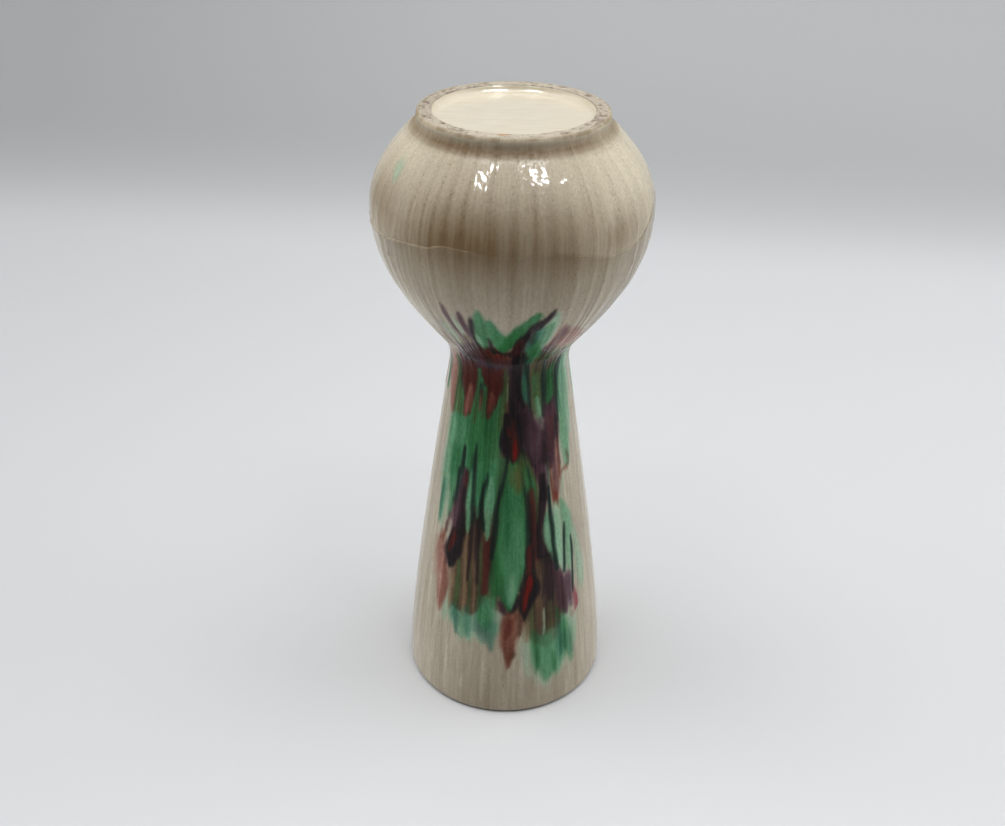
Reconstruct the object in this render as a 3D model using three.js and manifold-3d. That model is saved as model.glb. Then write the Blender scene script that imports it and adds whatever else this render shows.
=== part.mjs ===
// Ceramic bud vase: a round bulb on a long flared neck, resting on its mouth with the foot ring on top.
// Millimetres, +Z up, origin at the centre of the mouth rim. The painted front faces -Y.
import * as THREE from "three";
import { mergeVertices } from "three/addons/utils/BufferGeometryUtils.js";
import Module from "manifold-3d";

// ---- Driving dimensions of the finished, glazed outside ----
const HEIGHT = 200;
const MOUTH_RADIUS = 34.1;
const WAIST = { radius: 18.6, z: 121 };
const THROAT = { radius: 20.4, z: 130 }; // top of the hollow curve where the bulb meets the neck
const BELLY = { radius: 41.3, z: 172 };
const SHOULDER_END = { radius: 28.2, z: 196 };
const FOOT_RADIUS = 26.9;
const RECESS = { radius: 23.4, depth: 2.4, fillet: 2.6 };
const DIP_LINE_Z = 173.5; // the two dips of base glaze meet round the belly

// ---- Layers ----
const CLAY_WALL = 4;
const GLAZE = 0.5;
const RUN_THICKNESS = 0.4; // coloured glaze standing proud of the base glaze
const CLEARANCE = 0.08; // face-to-face gap between layers
const CLAY_DEPTH = GLAZE + CLEARANCE;

// ---- Rims, floor and joints ----
const RIM_CHAMFER = 0.6;
const BARE_RIM = 0.9; // clay left bare at the mouth
const LINER_START_Z = 2;
const FOOT_GLAZE_TOP = HEIGHT - 0.6;
const FLOOR_THICKNESS = 5;
const FLOOR_CORNER = 4; // rise of the curve between the inside wall and the floor
const JOINT = 0.5; // space for the luting slip
const TENON = { radius: 16.3, low: 114, high: 122 }; // the neck plugs into the bulb
const PAD_RADIUS = RECESS.radius - RECESS.fillet - JOINT; // raised pad that centres the foot ring
const PAD_Z = HEIGHT - RECESS.depth - CLAY_DEPTH;
const SEAT_Z = PAD_Z - 1.4;
const FLOOR_Z = PAD_Z - FLOOR_THICKNESS;

const SEGMENTS = 40;
const DEGREE = Math.PI / 180;

const at = (radius, z) => new THREE.Vector2(radius, z);

// ---- Curves in the radius-height plane; all run from the mouth towards the foot ----
function curvePoints(start, pieces) {
  const points = [start];
  for (const { steps, via, end } of pieces) {
    const from = points[points.length - 1];
    const curve =
      via.length === 2
        ? new THREE.CubicBezierCurve(from, ...via, end)
        : new THREE.QuadraticBezierCurve(from, ...via, end);
    points.push(...curve.getPoints(steps).slice(1));
  }
  return points;
}

const OUTSIDE = curvePoints(at(MOUTH_RADIUS, 0), [
  { steps: 4, via: [at(MOUTH_RADIUS + 0.2, 23.5)], end: at(WAIST.radius, WAIST.z) },
  { steps: 3, via: [at(WAIST.radius - 0.7, THROAT.z - 4)], end: at(THROAT.radius, THROAT.z) },
  {
    steps: 5,
    via: [at(THROAT.radius + 11.4, THROAT.z + 14.6), at(BELLY.radius, BELLY.z - 16)],
    end: at(BELLY.radius, BELLY.z),
  },
  {
    steps: 5,
    via: [at(BELLY.radius, BELLY.z + 8), at(SHOULDER_END.radius + 9.4, SHOULDER_END.z - 8.4)],
    end: at(SHOULDER_END.radius, SHOULDER_END.z),
  },
  { steps: 2, via: [at(FOOT_RADIUS, SHOULDER_END.z + 1.2)], end: at(FOOT_RADIUS, HEIGHT) },
]);

// Moves a curve to its left: inwards from the outside, further outwards when the depth is negative.
function offset(curve, depth) {
  return curve.map((point, i) => {
    const before = curve[Math.max(i - 1, 0)];
    const after = curve[Math.min(i + 1, curve.length - 1)];
    const along = after.clone().sub(before).normalize();
    return at(point.x - along.y * depth, point.y + along.x * depth);
  });
}

function radiusAt(curve, z) {
  const i = Math.max(curve.findIndex((point) => point.y >= z), 1);
  const [a, b] = [curve[i - 1], curve[i]];
  return a.x + ((b.x - a.x) * (z - a.y)) / (b.y - a.y);
}

// The stretch of a curve between two heights, with its ends exactly there.
function between(curve, low, high) {
  const sliver = 0.2;
  const middle = curve.filter((point) => point.y > low + sliver && point.y < high - sliver);
  return [at(radiusAt(curve, low), low), ...middle, at(radiusAt(curve, high), high)];
}

const down = (curve) => [...curve].reverse();

const CLAY_OUTSIDE = offset(OUTSIDE, CLAY_DEPTH);

// The bare clay inside: up the wall, round the corner and across the floor to the axis.
function insideCurve() {
  const wall = between(offset(OUTSIDE, CLAY_DEPTH + CLAY_WALL), RIM_CHAMFER, FLOOR_Z - FLOOR_CORNER);
  const top = wall[wall.length - 1];
  const floorEdge = top.x - FLOOR_CORNER * 2;
  const corner = curvePoints(top, [{ steps: 3, via: [at(top.x - FLOOR_CORNER, FLOOR_Z)], end: at(floorEdge, FLOOR_Z) }]);
  return [...wall, ...corner.slice(1), at(0, FLOOR_Z)];
}
const INSIDE = insideCurve();

// The glazed recess inside the foot ring: down its wall and across to the axis.
function recessCurve() {
  const floorZ = HEIGHT - RECESS.depth;
  const start = at(RECESS.radius, FOOT_GLAZE_TOP);
  const floorEdge = at(RECESS.radius - RECESS.fillet, floorZ);
  const fillet = curvePoints(start, [{ steps: 3, via: [at(RECESS.radius, floorZ)], end: floorEdge }]);
  return [...fillet, at(0, floorZ)];
}
const RECESS_FACE = recessCurve();

// ---- Turning ----
// Turns an anticlockwise outline about +Z; one that starts on the axis also ends on it.
function turned(outline) {
  const closed = outline[0].x === 0 ? outline : [...outline, outline[0]];
  return new THREE.LatheGeometry(closed, SEGMENTS).rotateX(Math.PI / 2);
}

// A coat between two curves that run the same way, the back one on the left.
const coat = (face, back) => turned([...down(back), ...face]);

function neck() {
  const inner = between(INSIDE, RIM_CHAMFER, TENON.high - JOINT);
  const outer = between(CLAY_OUTSIDE, RIM_CHAMFER, TENON.low);
  const tenon = TENON.radius - JOINT / 2;
  return turned([
    ...down(inner),
    at(inner[0].x + RIM_CHAMFER, 0),
    at(outer[0].x - RIM_CHAMFER, 0),
    ...outer,
    at(tenon, TENON.low),
    at(tenon, TENON.high - JOINT),
  ]);
}

function bulb() {
  const inner = INSIDE.filter((point) => point.y > TENON.high + JOINT);
  const socket = TENON.radius + JOINT / 2;
  return turned([
    ...down(inner),
    at(radiusAt(INSIDE, TENON.high), TENON.high),
    at(socket, TENON.high),
    at(socket, TENON.low + JOINT),
    ...between(CLAY_OUTSIDE, TENON.low + JOINT, SEAT_Z),
    at(PAD_RADIUS, SEAT_Z),
    at(PAD_RADIUS, PAD_Z),
    at(0, PAD_Z),
  ]);
}

function neckSlip() {
  const [low, high] = [TENON.low + CLEARANCE, TENON.high - CLEARANCE];
  const thickness = JOINT - 2 * CLEARANCE;
  const inner = TENON.radius - thickness / 2;
  const outer = TENON.radius + thickness / 2;
  const bore = radiusAt(INSIDE, TENON.high);
  const skin = radiusAt(CLAY_OUTSIDE, TENON.low + JOINT);
  return turned([
    at(inner, low),
    at(skin, low),
    at(skin, low + thickness),
    at(outer, low + thickness),
    at(outer, high),
    at(bore, high),
    at(bore, high - thickness),
    at(inner, high - thickness),
  ]);
}

function footRing() {
  const outer = between(CLAY_OUTSIDE, SEAT_Z + JOINT, FOOT_GLAZE_TOP);
  const recess = offset(RECESS_FACE, CLAY_DEPTH).slice(0, -1);
  return turned([
    ...outer,
    at(outer[outer.length - 1].x - 0.3, HEIGHT),
    at(recess[0].x + 0.3, HEIGHT),
    ...recess,
    at(PAD_RADIUS + JOINT, SEAT_Z + JOINT),
  ]);
}

function footSlip() {
  const thickness = JOINT - 2 * CLEARANCE;
  const inner = PAD_RADIUS + CLEARANCE;
  const low = SEAT_Z + CLEARANCE;
  const skin = radiusAt(CLAY_OUTSIDE, SEAT_Z + JOINT);
  return turned([
    at(inner, low),
    at(skin, low),
    at(skin, low + thickness),
    at(inner + thickness, low + thickness),
    at(inner + thickness, PAD_Z),
    at(inner, PAD_Z),
  ]);
}

function glazeBand(low, high) {
  return coat(between(OUTSIDE, low, high), between(offset(OUTSIDE, GLAZE), low, high));
}

function liner() {
  const start = LINER_START_Z;
  const face = [at(radiusAt(offset(INSIDE, CLEARANCE), start), start)];
  const back = [at(radiusAt(offset(INSIDE, CLEARANCE + GLAZE), start), start)];
  face.push(...offset(INSIDE, CLEARANCE).filter((point) => point.y > start + 1));
  back.push(...offset(INSIDE, CLEARANCE + GLAZE).filter((point) => point.y > start + 1));
  return coat(face, back);
}

// ---- Coloured runs, flowing towards the mouth: [degrees round from the front, height] ----
const COLOURS = { green: 0x3f8a5a, mint: 0x86b394, oxblood: 0x5a1e1c, aubergine: 0x3c2337, olive: 0x6a5230 };
const RUNS = {
  green_crest: {
    colour: "green",
    outline: [[-19, 152], [-12, 151], [-7, 147], [0, 146], [7, 150], [10, 148], [2, 138], [-7, 135], [-16, 139]],
  },
  mint_crest: { colour: "mint", outline: [[14, 148], [21, 147], [23, 138], [19, 132], [13, 134], [11, 140]] },
  oxblood_collar: {
    colour: "oxblood",
    outline: [
      [-56, 126], [-32, 128], [-6, 127], [-6, 121], [-13, 116], [-17, 111],
      [-22, 115], [-31, 117], [-38, 111], [-44, 116], [-56, 118],
    ],
  },
  green_cloak: {
    colour: "green",
    outline: [
      [-57, 113], [-47, 110], [-38, 106], [-28, 110], [-17, 106], [-9, 112], [-8, 98],
      [-12, 70], [-17, 88], [-22, 76], [-26, 92], [-30, 73], [-35, 92], [-50, 96],
    ],
  },
  aubergine_column: { colour: "aubergine", outline: [[-42, 86], [-38, 84], [-35, 64], [-39, 55], [-43, 64]] },
  oxblood_run: { colour: "oxblood", outline: [[-52, 66], [-48, 60], [-47, 44], [-51, 37], [-55, 46], [-56, 60]] },
  olive_run: { colour: "olive", outline: [[-28, 64], [-12, 63], [-11, 47], [-16, 40], [-22, 48], [-28, 39], [-32, 52]] },
  green_leaf: { colour: "green", outline: [[2, 95], [10, 88], [14, 75], [9, 58], [3, 42], [-3, 58], [-6, 74], [-3, 88]] },
  aubergine_run: {
    colour: "aubergine",
    outline: [[6, 128], [20, 130], [31, 126], [31, 108], [28, 90], [23, 80], [18, 90], [12, 100], [5, 112]],
  },
  mint_panel: { colour: "mint", outline: [[48, 124], [66, 122], [68, 104], [60, 90], [52, 97], [47, 110]] },
  mint_run: { colour: "mint", outline: [[31, 78], [47, 78], [50, 64], [40, 54], [29, 60], [27, 70]] },
  red_bead: { colour: "oxblood", outline: [[13, 53], [16, 47], [13, 39], [9.5, 46]] },
  aubergine_tail: { colour: "aubergine", outline: [[35, 49], [48, 49], [50, 41], [41, 35], [33, 40]] },
  green_tail: { colour: "green", outline: [[20, 31], [31, 33], [42, 31], [44, 22], [37, 14], [30, 18], [24, 13], [18, 22]] },
  back_collar: {
    colour: "aubergine",
    outline: [[140, 127], [175, 129], [210, 127], [212, 118], [196, 104], [184, 114], [166, 98], [152, 114], [139, 118]],
  },
};

const wasm = await Module();
wasm.setup();

function solid(geometry) {
  const faces = geometry.index ? geometry.toNonIndexed() : geometry;
  const bare = new THREE.BufferGeometry();
  bare.setAttribute("position", faces.getAttribute("position"));
  const merged = mergeVertices(bare, 1e-3);
  const mesh = { numProp: 3, vertProperties: merged.attributes.position.array, triVerts: new Uint32Array(merged.index.array) };
  return new wasm.Manifold(new wasm.Mesh(mesh));
}

function geometryOf(manifold) {
  const mesh = manifold.getMesh();
  const geometry = new THREE.BufferGeometry();
  geometry.setAttribute("position", new THREE.BufferAttribute(mesh.vertProperties, 3));
  geometry.setIndex(new THREE.BufferAttribute(mesh.triVerts, 1));
  geometry.computeVertexNormals();
  return geometry;
}

// A coat over the base glaze, cut to the run's outline by a prism pushed in from the run's middle.
function run(outline) {
  const heights = outline.map(([, z]) => z);
  const turns = outline.map(([turn]) => turn);
  const middle = (Math.min(...turns) + Math.max(...turns)) / 2;
  const low = Math.min(...heights) - 3;
  const high = Math.max(...heights) + 3;
  const shell = coat(
    between(offset(OUTSIDE, -CLEARANCE - RUN_THICKNESS), low, high),
    between(offset(OUTSIDE, -CLEARANCE), low, high),
  );
  const corners = outline.map(([turn, z]) => {
    const across = radiusAt(OUTSIDE, z) * Math.sin((turn - middle) * DEGREE);
    return new THREE.Vector3(across, z, 0);
  });
  const smooth = new THREE.CatmullRomCurve3(corners, true).getPoints(outline.length * 3).slice(0, -1);
  const shape = new THREE.Shape(smooth.map((corner) => at(corner.x, corner.y)));
  const prism = new THREE.ExtrudeGeometry(shape, { depth: BELLY.radius * 2, bevelEnabled: false });
  prism.rotateX(Math.PI / 2).rotateZ(middle * DEGREE);
  return geometryOf(solid(shell).intersect(solid(prism)));
}

// ---- Assembly ----
const group = new THREE.Group();
function add(name, geometry, color, roughness) {
  const mesh = new THREE.Mesh(geometry, new THREE.MeshStandardMaterial({ color, roughness }));
  mesh.name = name;
  group.add(mesh);
}

const CLAY = 0x9c8468;
const SLIP = 0x7d6650;
const GLAZED = 0xb9b2a4;

add("neck", neck(), CLAY, 0.9);
add("bulb", bulb(), CLAY, 0.9);
add("foot_ring", footRing(), CLAY, 0.9);
add("neck_slip", neckSlip(), SLIP, 0.9);
add("foot_slip", footSlip(), SLIP, 0.9);
add("mouth_glaze", glazeBand(BARE_RIM, DIP_LINE_Z - CLEARANCE), GLAZED, 0.3);
add("base_glaze", glazeBand(DIP_LINE_Z, FOOT_GLAZE_TOP), 0xc9bfae, 0.3);
add("recess_glaze", coat(RECESS_FACE, offset(RECESS_FACE, GLAZE)), 0xdcd1b8, 0.25);
add("liner_glaze", liner(), 0xcfc6b2, 0.3);
for (const [name, { colour, outline }] of Object.entries(RUNS)) {
  add(name, run(outline), COLOURS[colour], 0.2);
}

export default group;
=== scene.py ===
"""Looks of the ceramic bud vase: fluted, glazed skins with poured colour, on a pale studio floor.

Lengths in this file are in millimetres until a mesh is made; Blender and the CAD frame are in metres.
A place on the vase is (turn, height): degrees round from the front towards +X, and millimetres up.
"""

import math

import bmesh
import bpy
import numpy as np
from mathutils import Euler, Matrix, Vector


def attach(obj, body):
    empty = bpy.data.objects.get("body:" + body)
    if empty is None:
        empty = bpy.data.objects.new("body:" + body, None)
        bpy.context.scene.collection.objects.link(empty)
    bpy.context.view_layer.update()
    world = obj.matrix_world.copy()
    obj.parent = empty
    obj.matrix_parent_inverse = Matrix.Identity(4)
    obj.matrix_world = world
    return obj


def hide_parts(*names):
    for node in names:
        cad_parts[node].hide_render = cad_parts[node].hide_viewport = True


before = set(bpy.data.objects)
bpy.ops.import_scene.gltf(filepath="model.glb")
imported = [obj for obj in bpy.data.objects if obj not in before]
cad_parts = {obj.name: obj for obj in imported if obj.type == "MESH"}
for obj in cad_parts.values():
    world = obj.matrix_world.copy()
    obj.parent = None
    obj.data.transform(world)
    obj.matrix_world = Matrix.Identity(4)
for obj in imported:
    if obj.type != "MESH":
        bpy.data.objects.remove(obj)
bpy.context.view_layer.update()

MM = 0.001

# ---- The outside, as in the CAD source ----
HEIGHT = 200.0
MOUTH_RADIUS = 34.1
WAIST_RADIUS, WAIST_Z = 18.6, 121.0
THROAT_RADIUS, THROAT_Z = 20.4, 130.0
BELLY_RADIUS, BELLY_Z = 41.3, 172.0
SHOULDER_RADIUS, SHOULDER_Z = 28.2, 196.0
FOOT_RADIUS = 26.9
RECESS_RADIUS, RECESS_DEPTH, RECESS_FILLET = 23.0, 2.4, 2.6  # its lip rolls 0.4 further in than in the CAD
CLAY_DEPTH = 0.58  # the clay lies this far under the outside
GLAZE = 0.5  # thickness of the outside glaze
BARE_RIM = 0.9  # the glaze starts this far up from the mouth
COLOUR_RELIEF = 0.22  # the coloured glaze stands this proud
LIP = 0.9  # the foot ring's outer edge starts to round this far below its top
LIP_TOP = 0.1  # the outside glaze ends this far below the top

RIBS = 48  # throwing ribs round the vase
BACK_ROWS = 30  # rows of points on the hidden inner face of a glaze skin


# ---- Curves and smooth random fields ----
def bezier(points, steps):
    """Points along a quadratic or cubic Bezier curve, without its first point."""
    t = np.linspace(0.0, 1.0, steps + 1)[1:, None]
    p = np.array(points, float)
    if len(p) == 3:
        return (1 - t) ** 2 * p[0] + 2 * t * (1 - t) * p[1] + t**2 * p[2]
    return (1 - t) ** 3 * p[0] + 3 * t * (1 - t) ** 2 * p[1] + 3 * t**2 * (1 - t) * p[2] + t**3 * p[3]


def outside_curve():
    """(radius, height) up the outside from the mouth to the lip of the foot ring."""
    mouth = (MOUTH_RADIUS, 0.0)
    waist = (WAIST_RADIUS, WAIST_Z)
    throat = (THROAT_RADIUS, THROAT_Z)
    belly = (BELLY_RADIUS, BELLY_Z)
    shoulder = (SHOULDER_RADIUS, SHOULDER_Z)
    lip = (FOOT_RADIUS, HEIGHT - LIP)
    pieces = [
        [mouth, (MOUTH_RADIUS + 0.2, 23.5), waist],
        [waist, (WAIST_RADIUS - 0.7, THROAT_Z - 4), throat],
        [throat, (THROAT_RADIUS + 11.4, THROAT_Z + 14.6), (BELLY_RADIUS, BELLY_Z - 16), belly],
        [belly, (BELLY_RADIUS, BELLY_Z + 8), (SHOULDER_RADIUS + 9.4, SHOULDER_Z - 8.4), shoulder],
        [shoulder, (FOOT_RADIUS, SHOULDER_Z + 1.2), lip],
        [lip, (FOOT_RADIUS, HEIGHT - LIP_TOP), (FOOT_RADIUS - 0.8, HEIGHT - LIP_TOP)],
    ]
    return np.vstack([[mouth]] + [bezier(piece, 60) for piece in pieces])


class Profile:
    """A curve in the radius-height plane, read by the distance along it."""

    def __init__(self, points):
        self.points = np.array(points, float)
        steps = np.hypot(*np.diff(self.points, axis=0).T)
        self.s = np.concatenate([[0.0], np.cumsum(steps)])
        self.slope = np.gradient(self.points, self.s, axis=0)
        self.slope /= np.linalg.norm(self.slope, axis=1)[:, None]
        self.length = self.s[-1]

    def at(self, s):
        """Radius and height at a distance along the curve."""
        return np.interp(s, self.s, self.points[:, 0]), np.interp(s, self.s, self.points[:, 1])

    def outward(self, s):
        """The outward normal of a curve that runs up the outside."""
        return np.interp(s, self.s, self.slope[:, 1]), -np.interp(s, self.s, self.slope[:, 0])

    def s_at(self, height):
        """Distance along the curve at a height."""
        return np.interp(height, self.points[:, 1], self.s)


OUTSIDE = Profile(outside_curve())


def wrap(turn):
    """The same turn between -180 and 180 degrees."""
    return (turn + 180) % 360 - 180


def smoothstep(x):
    """Carries 0 to 1 smoothly onto 0 to 1, and holds its ends."""
    x = np.clip(x, 0.0, 1.0)
    return x * x * (3 - 2 * x)


def wavy(turn, height, across, step, seed):
    """A smooth random field from -1 to 1: `across` cells round the vase, each `step` mm high."""
    table = np.random.default_rng(seed).uniform(-1, 1, (across, 64))
    u = (turn / 360.0 * across) % across
    v = np.clip(height / step + 8, 0, 62)
    i, j = np.floor(u).astype(int), np.floor(v).astype(int)
    a, b = smoothstep(u - i), smoothstep(v - j)
    i2 = (i + 1) % across
    i = i % across
    low = table[i, j] * (1 - a) + table[i2, j] * a
    high = table[i, j + 1] * (1 - a) + table[i2, j + 1] * a
    return low * (1 - b) + high * b


def cloudy(turn, height, across, step, seed):
    """The same field, from 0 to 1."""
    return 0.5 + 0.5 * wavy(turn, height, across, step, seed)


def around(turn, places):
    """A value given at a few turns, carried smoothly round the vase."""
    turns, values = np.array(places, float).T
    turns = np.concatenate([turns - 360, turns, turns + 360])
    values = np.tile(values, 3)
    wrapped = wrap(turn)
    i = np.clip(np.searchsorted(turns, wrapped) - 1, 0, len(turns) - 2)
    t = smoothstep((wrapped - turns[i]) / (turns[i + 1] - turns[i]))
    return values[i] * (1 - t) + values[i + 1] * t


def carried(height, places):
    """A value given at a few heights, carried straight between them."""
    heights, values = zip(*places)
    return np.interp(height, heights, values)


def patch(turn, height, middle_turn, middle_height, wide, tall):
    """A soft round patch, one at its middle."""
    across = wrap(turn - middle_turn)
    return np.exp(-((across / wide) ** 2) - ((height - middle_height) / tall) ** 2)


# ---- Throwing ribs ----
RIB_DEPTH = [(0, 0.06), (10, 0.12), (60, 0.15), (118, 0.15), (128, 0.30), (140, 0.42), (165, 0.34),
             (185, 0.25), (194, 0.08), (197, 0.04), (200, 0.0)]  # (height, depth)


def ribs(turn, height):
    """Relief in mm, and how deep in a groove a place is, from 0 to 1."""
    spacing = 0.55 * wavy(turn, height * 0 + 5, 17, 100, 10)
    wobble = 0.14 * wavy(turn, height, 24, 34, 11) + 0.07 * wavy(turn, height, 48, 11, 12)
    phase = turn / 360.0 * RIBS + spacing + wobble
    index = np.round(phase)
    across = phase - index
    strength = 0.45 + 0.55 * wavy(index * 360.0 / RIBS + 0.01, height, RIBS, 23, 13)
    width = 0.15 + 0.06 * wavy(turn, height, RIBS, 9, 15)
    groove = np.clip(strength, 0, 1) * np.exp(-((across / width) ** 2))
    swell = 0.35 * np.cos(2 * np.pi * across)
    fine = 0.10 * wavy(turn, height, RIBS * 4, 26, 14)
    return carried(height, RIB_DEPTH) * (swell + fine - groove), groove


# ---- Poured colour ----
# Glaze colours are sRGB bytes, as they look in the softer light that the front gets.
FRONT_LIGHT = 0.60
# The bare glaze: stone and cream below the dip line, ivory above it, and the brown where it runs thin.
BARE_GLAZE = [(133, 126, 111), (170, 163, 147), (190, 181, 160), (92, 73, 48)]
RUBBED_CLAY = [(152, 141, 121), (125, 111, 89)]
HIDDEN_GLAZE = (190, 182, 164)  # the inner faces of the skins
# Each coloured glaze, thin and thick.
PIGMENTS = {
    "mint": ((96, 138, 108), (68, 112, 80)),
    "sage": ((132, 158, 134), (108, 138, 114)),
    "green": ((58, 110, 73), (28, 80, 45)),
    "forest": ((38, 94, 50), (20, 60, 28)),
    "moss": ((70, 88, 50), (36, 50, 24)),
    "teal": ((52, 102, 82), (18, 56, 45)),
    "ink": ((18, 36, 30), (8, 20, 15)),
    "pink": ((130, 92, 82), (104, 68, 58)),
    "brick": ((104, 64, 50), (76, 38, 28)),
    "oxblood": ((72, 26, 20), (48, 12, 9)),
    "ruby": ((102, 16, 8), (62, 8, 5)),
    "plum": ((60, 38, 46), (36, 21, 28)),
    "lilac": ((88, 72, 80), (60, 46, 52)),
    "black": ((26, 18, 21), (12, 8, 10)),
    "umber": ((82, 64, 47), (46, 32, 23)),
    "tan": ((122, 104, 80), (100, 78, 56)),
    "cream": ((170, 142, 120), (154, 126, 106)),
    "magenta": ((118, 60, 66), (94, 36, 46)),
    "pale": ((172, 165, 149), (160, 152, 136)),
    "gold": ((90, 86, 44), (72, 68, 34)),
}

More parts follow.
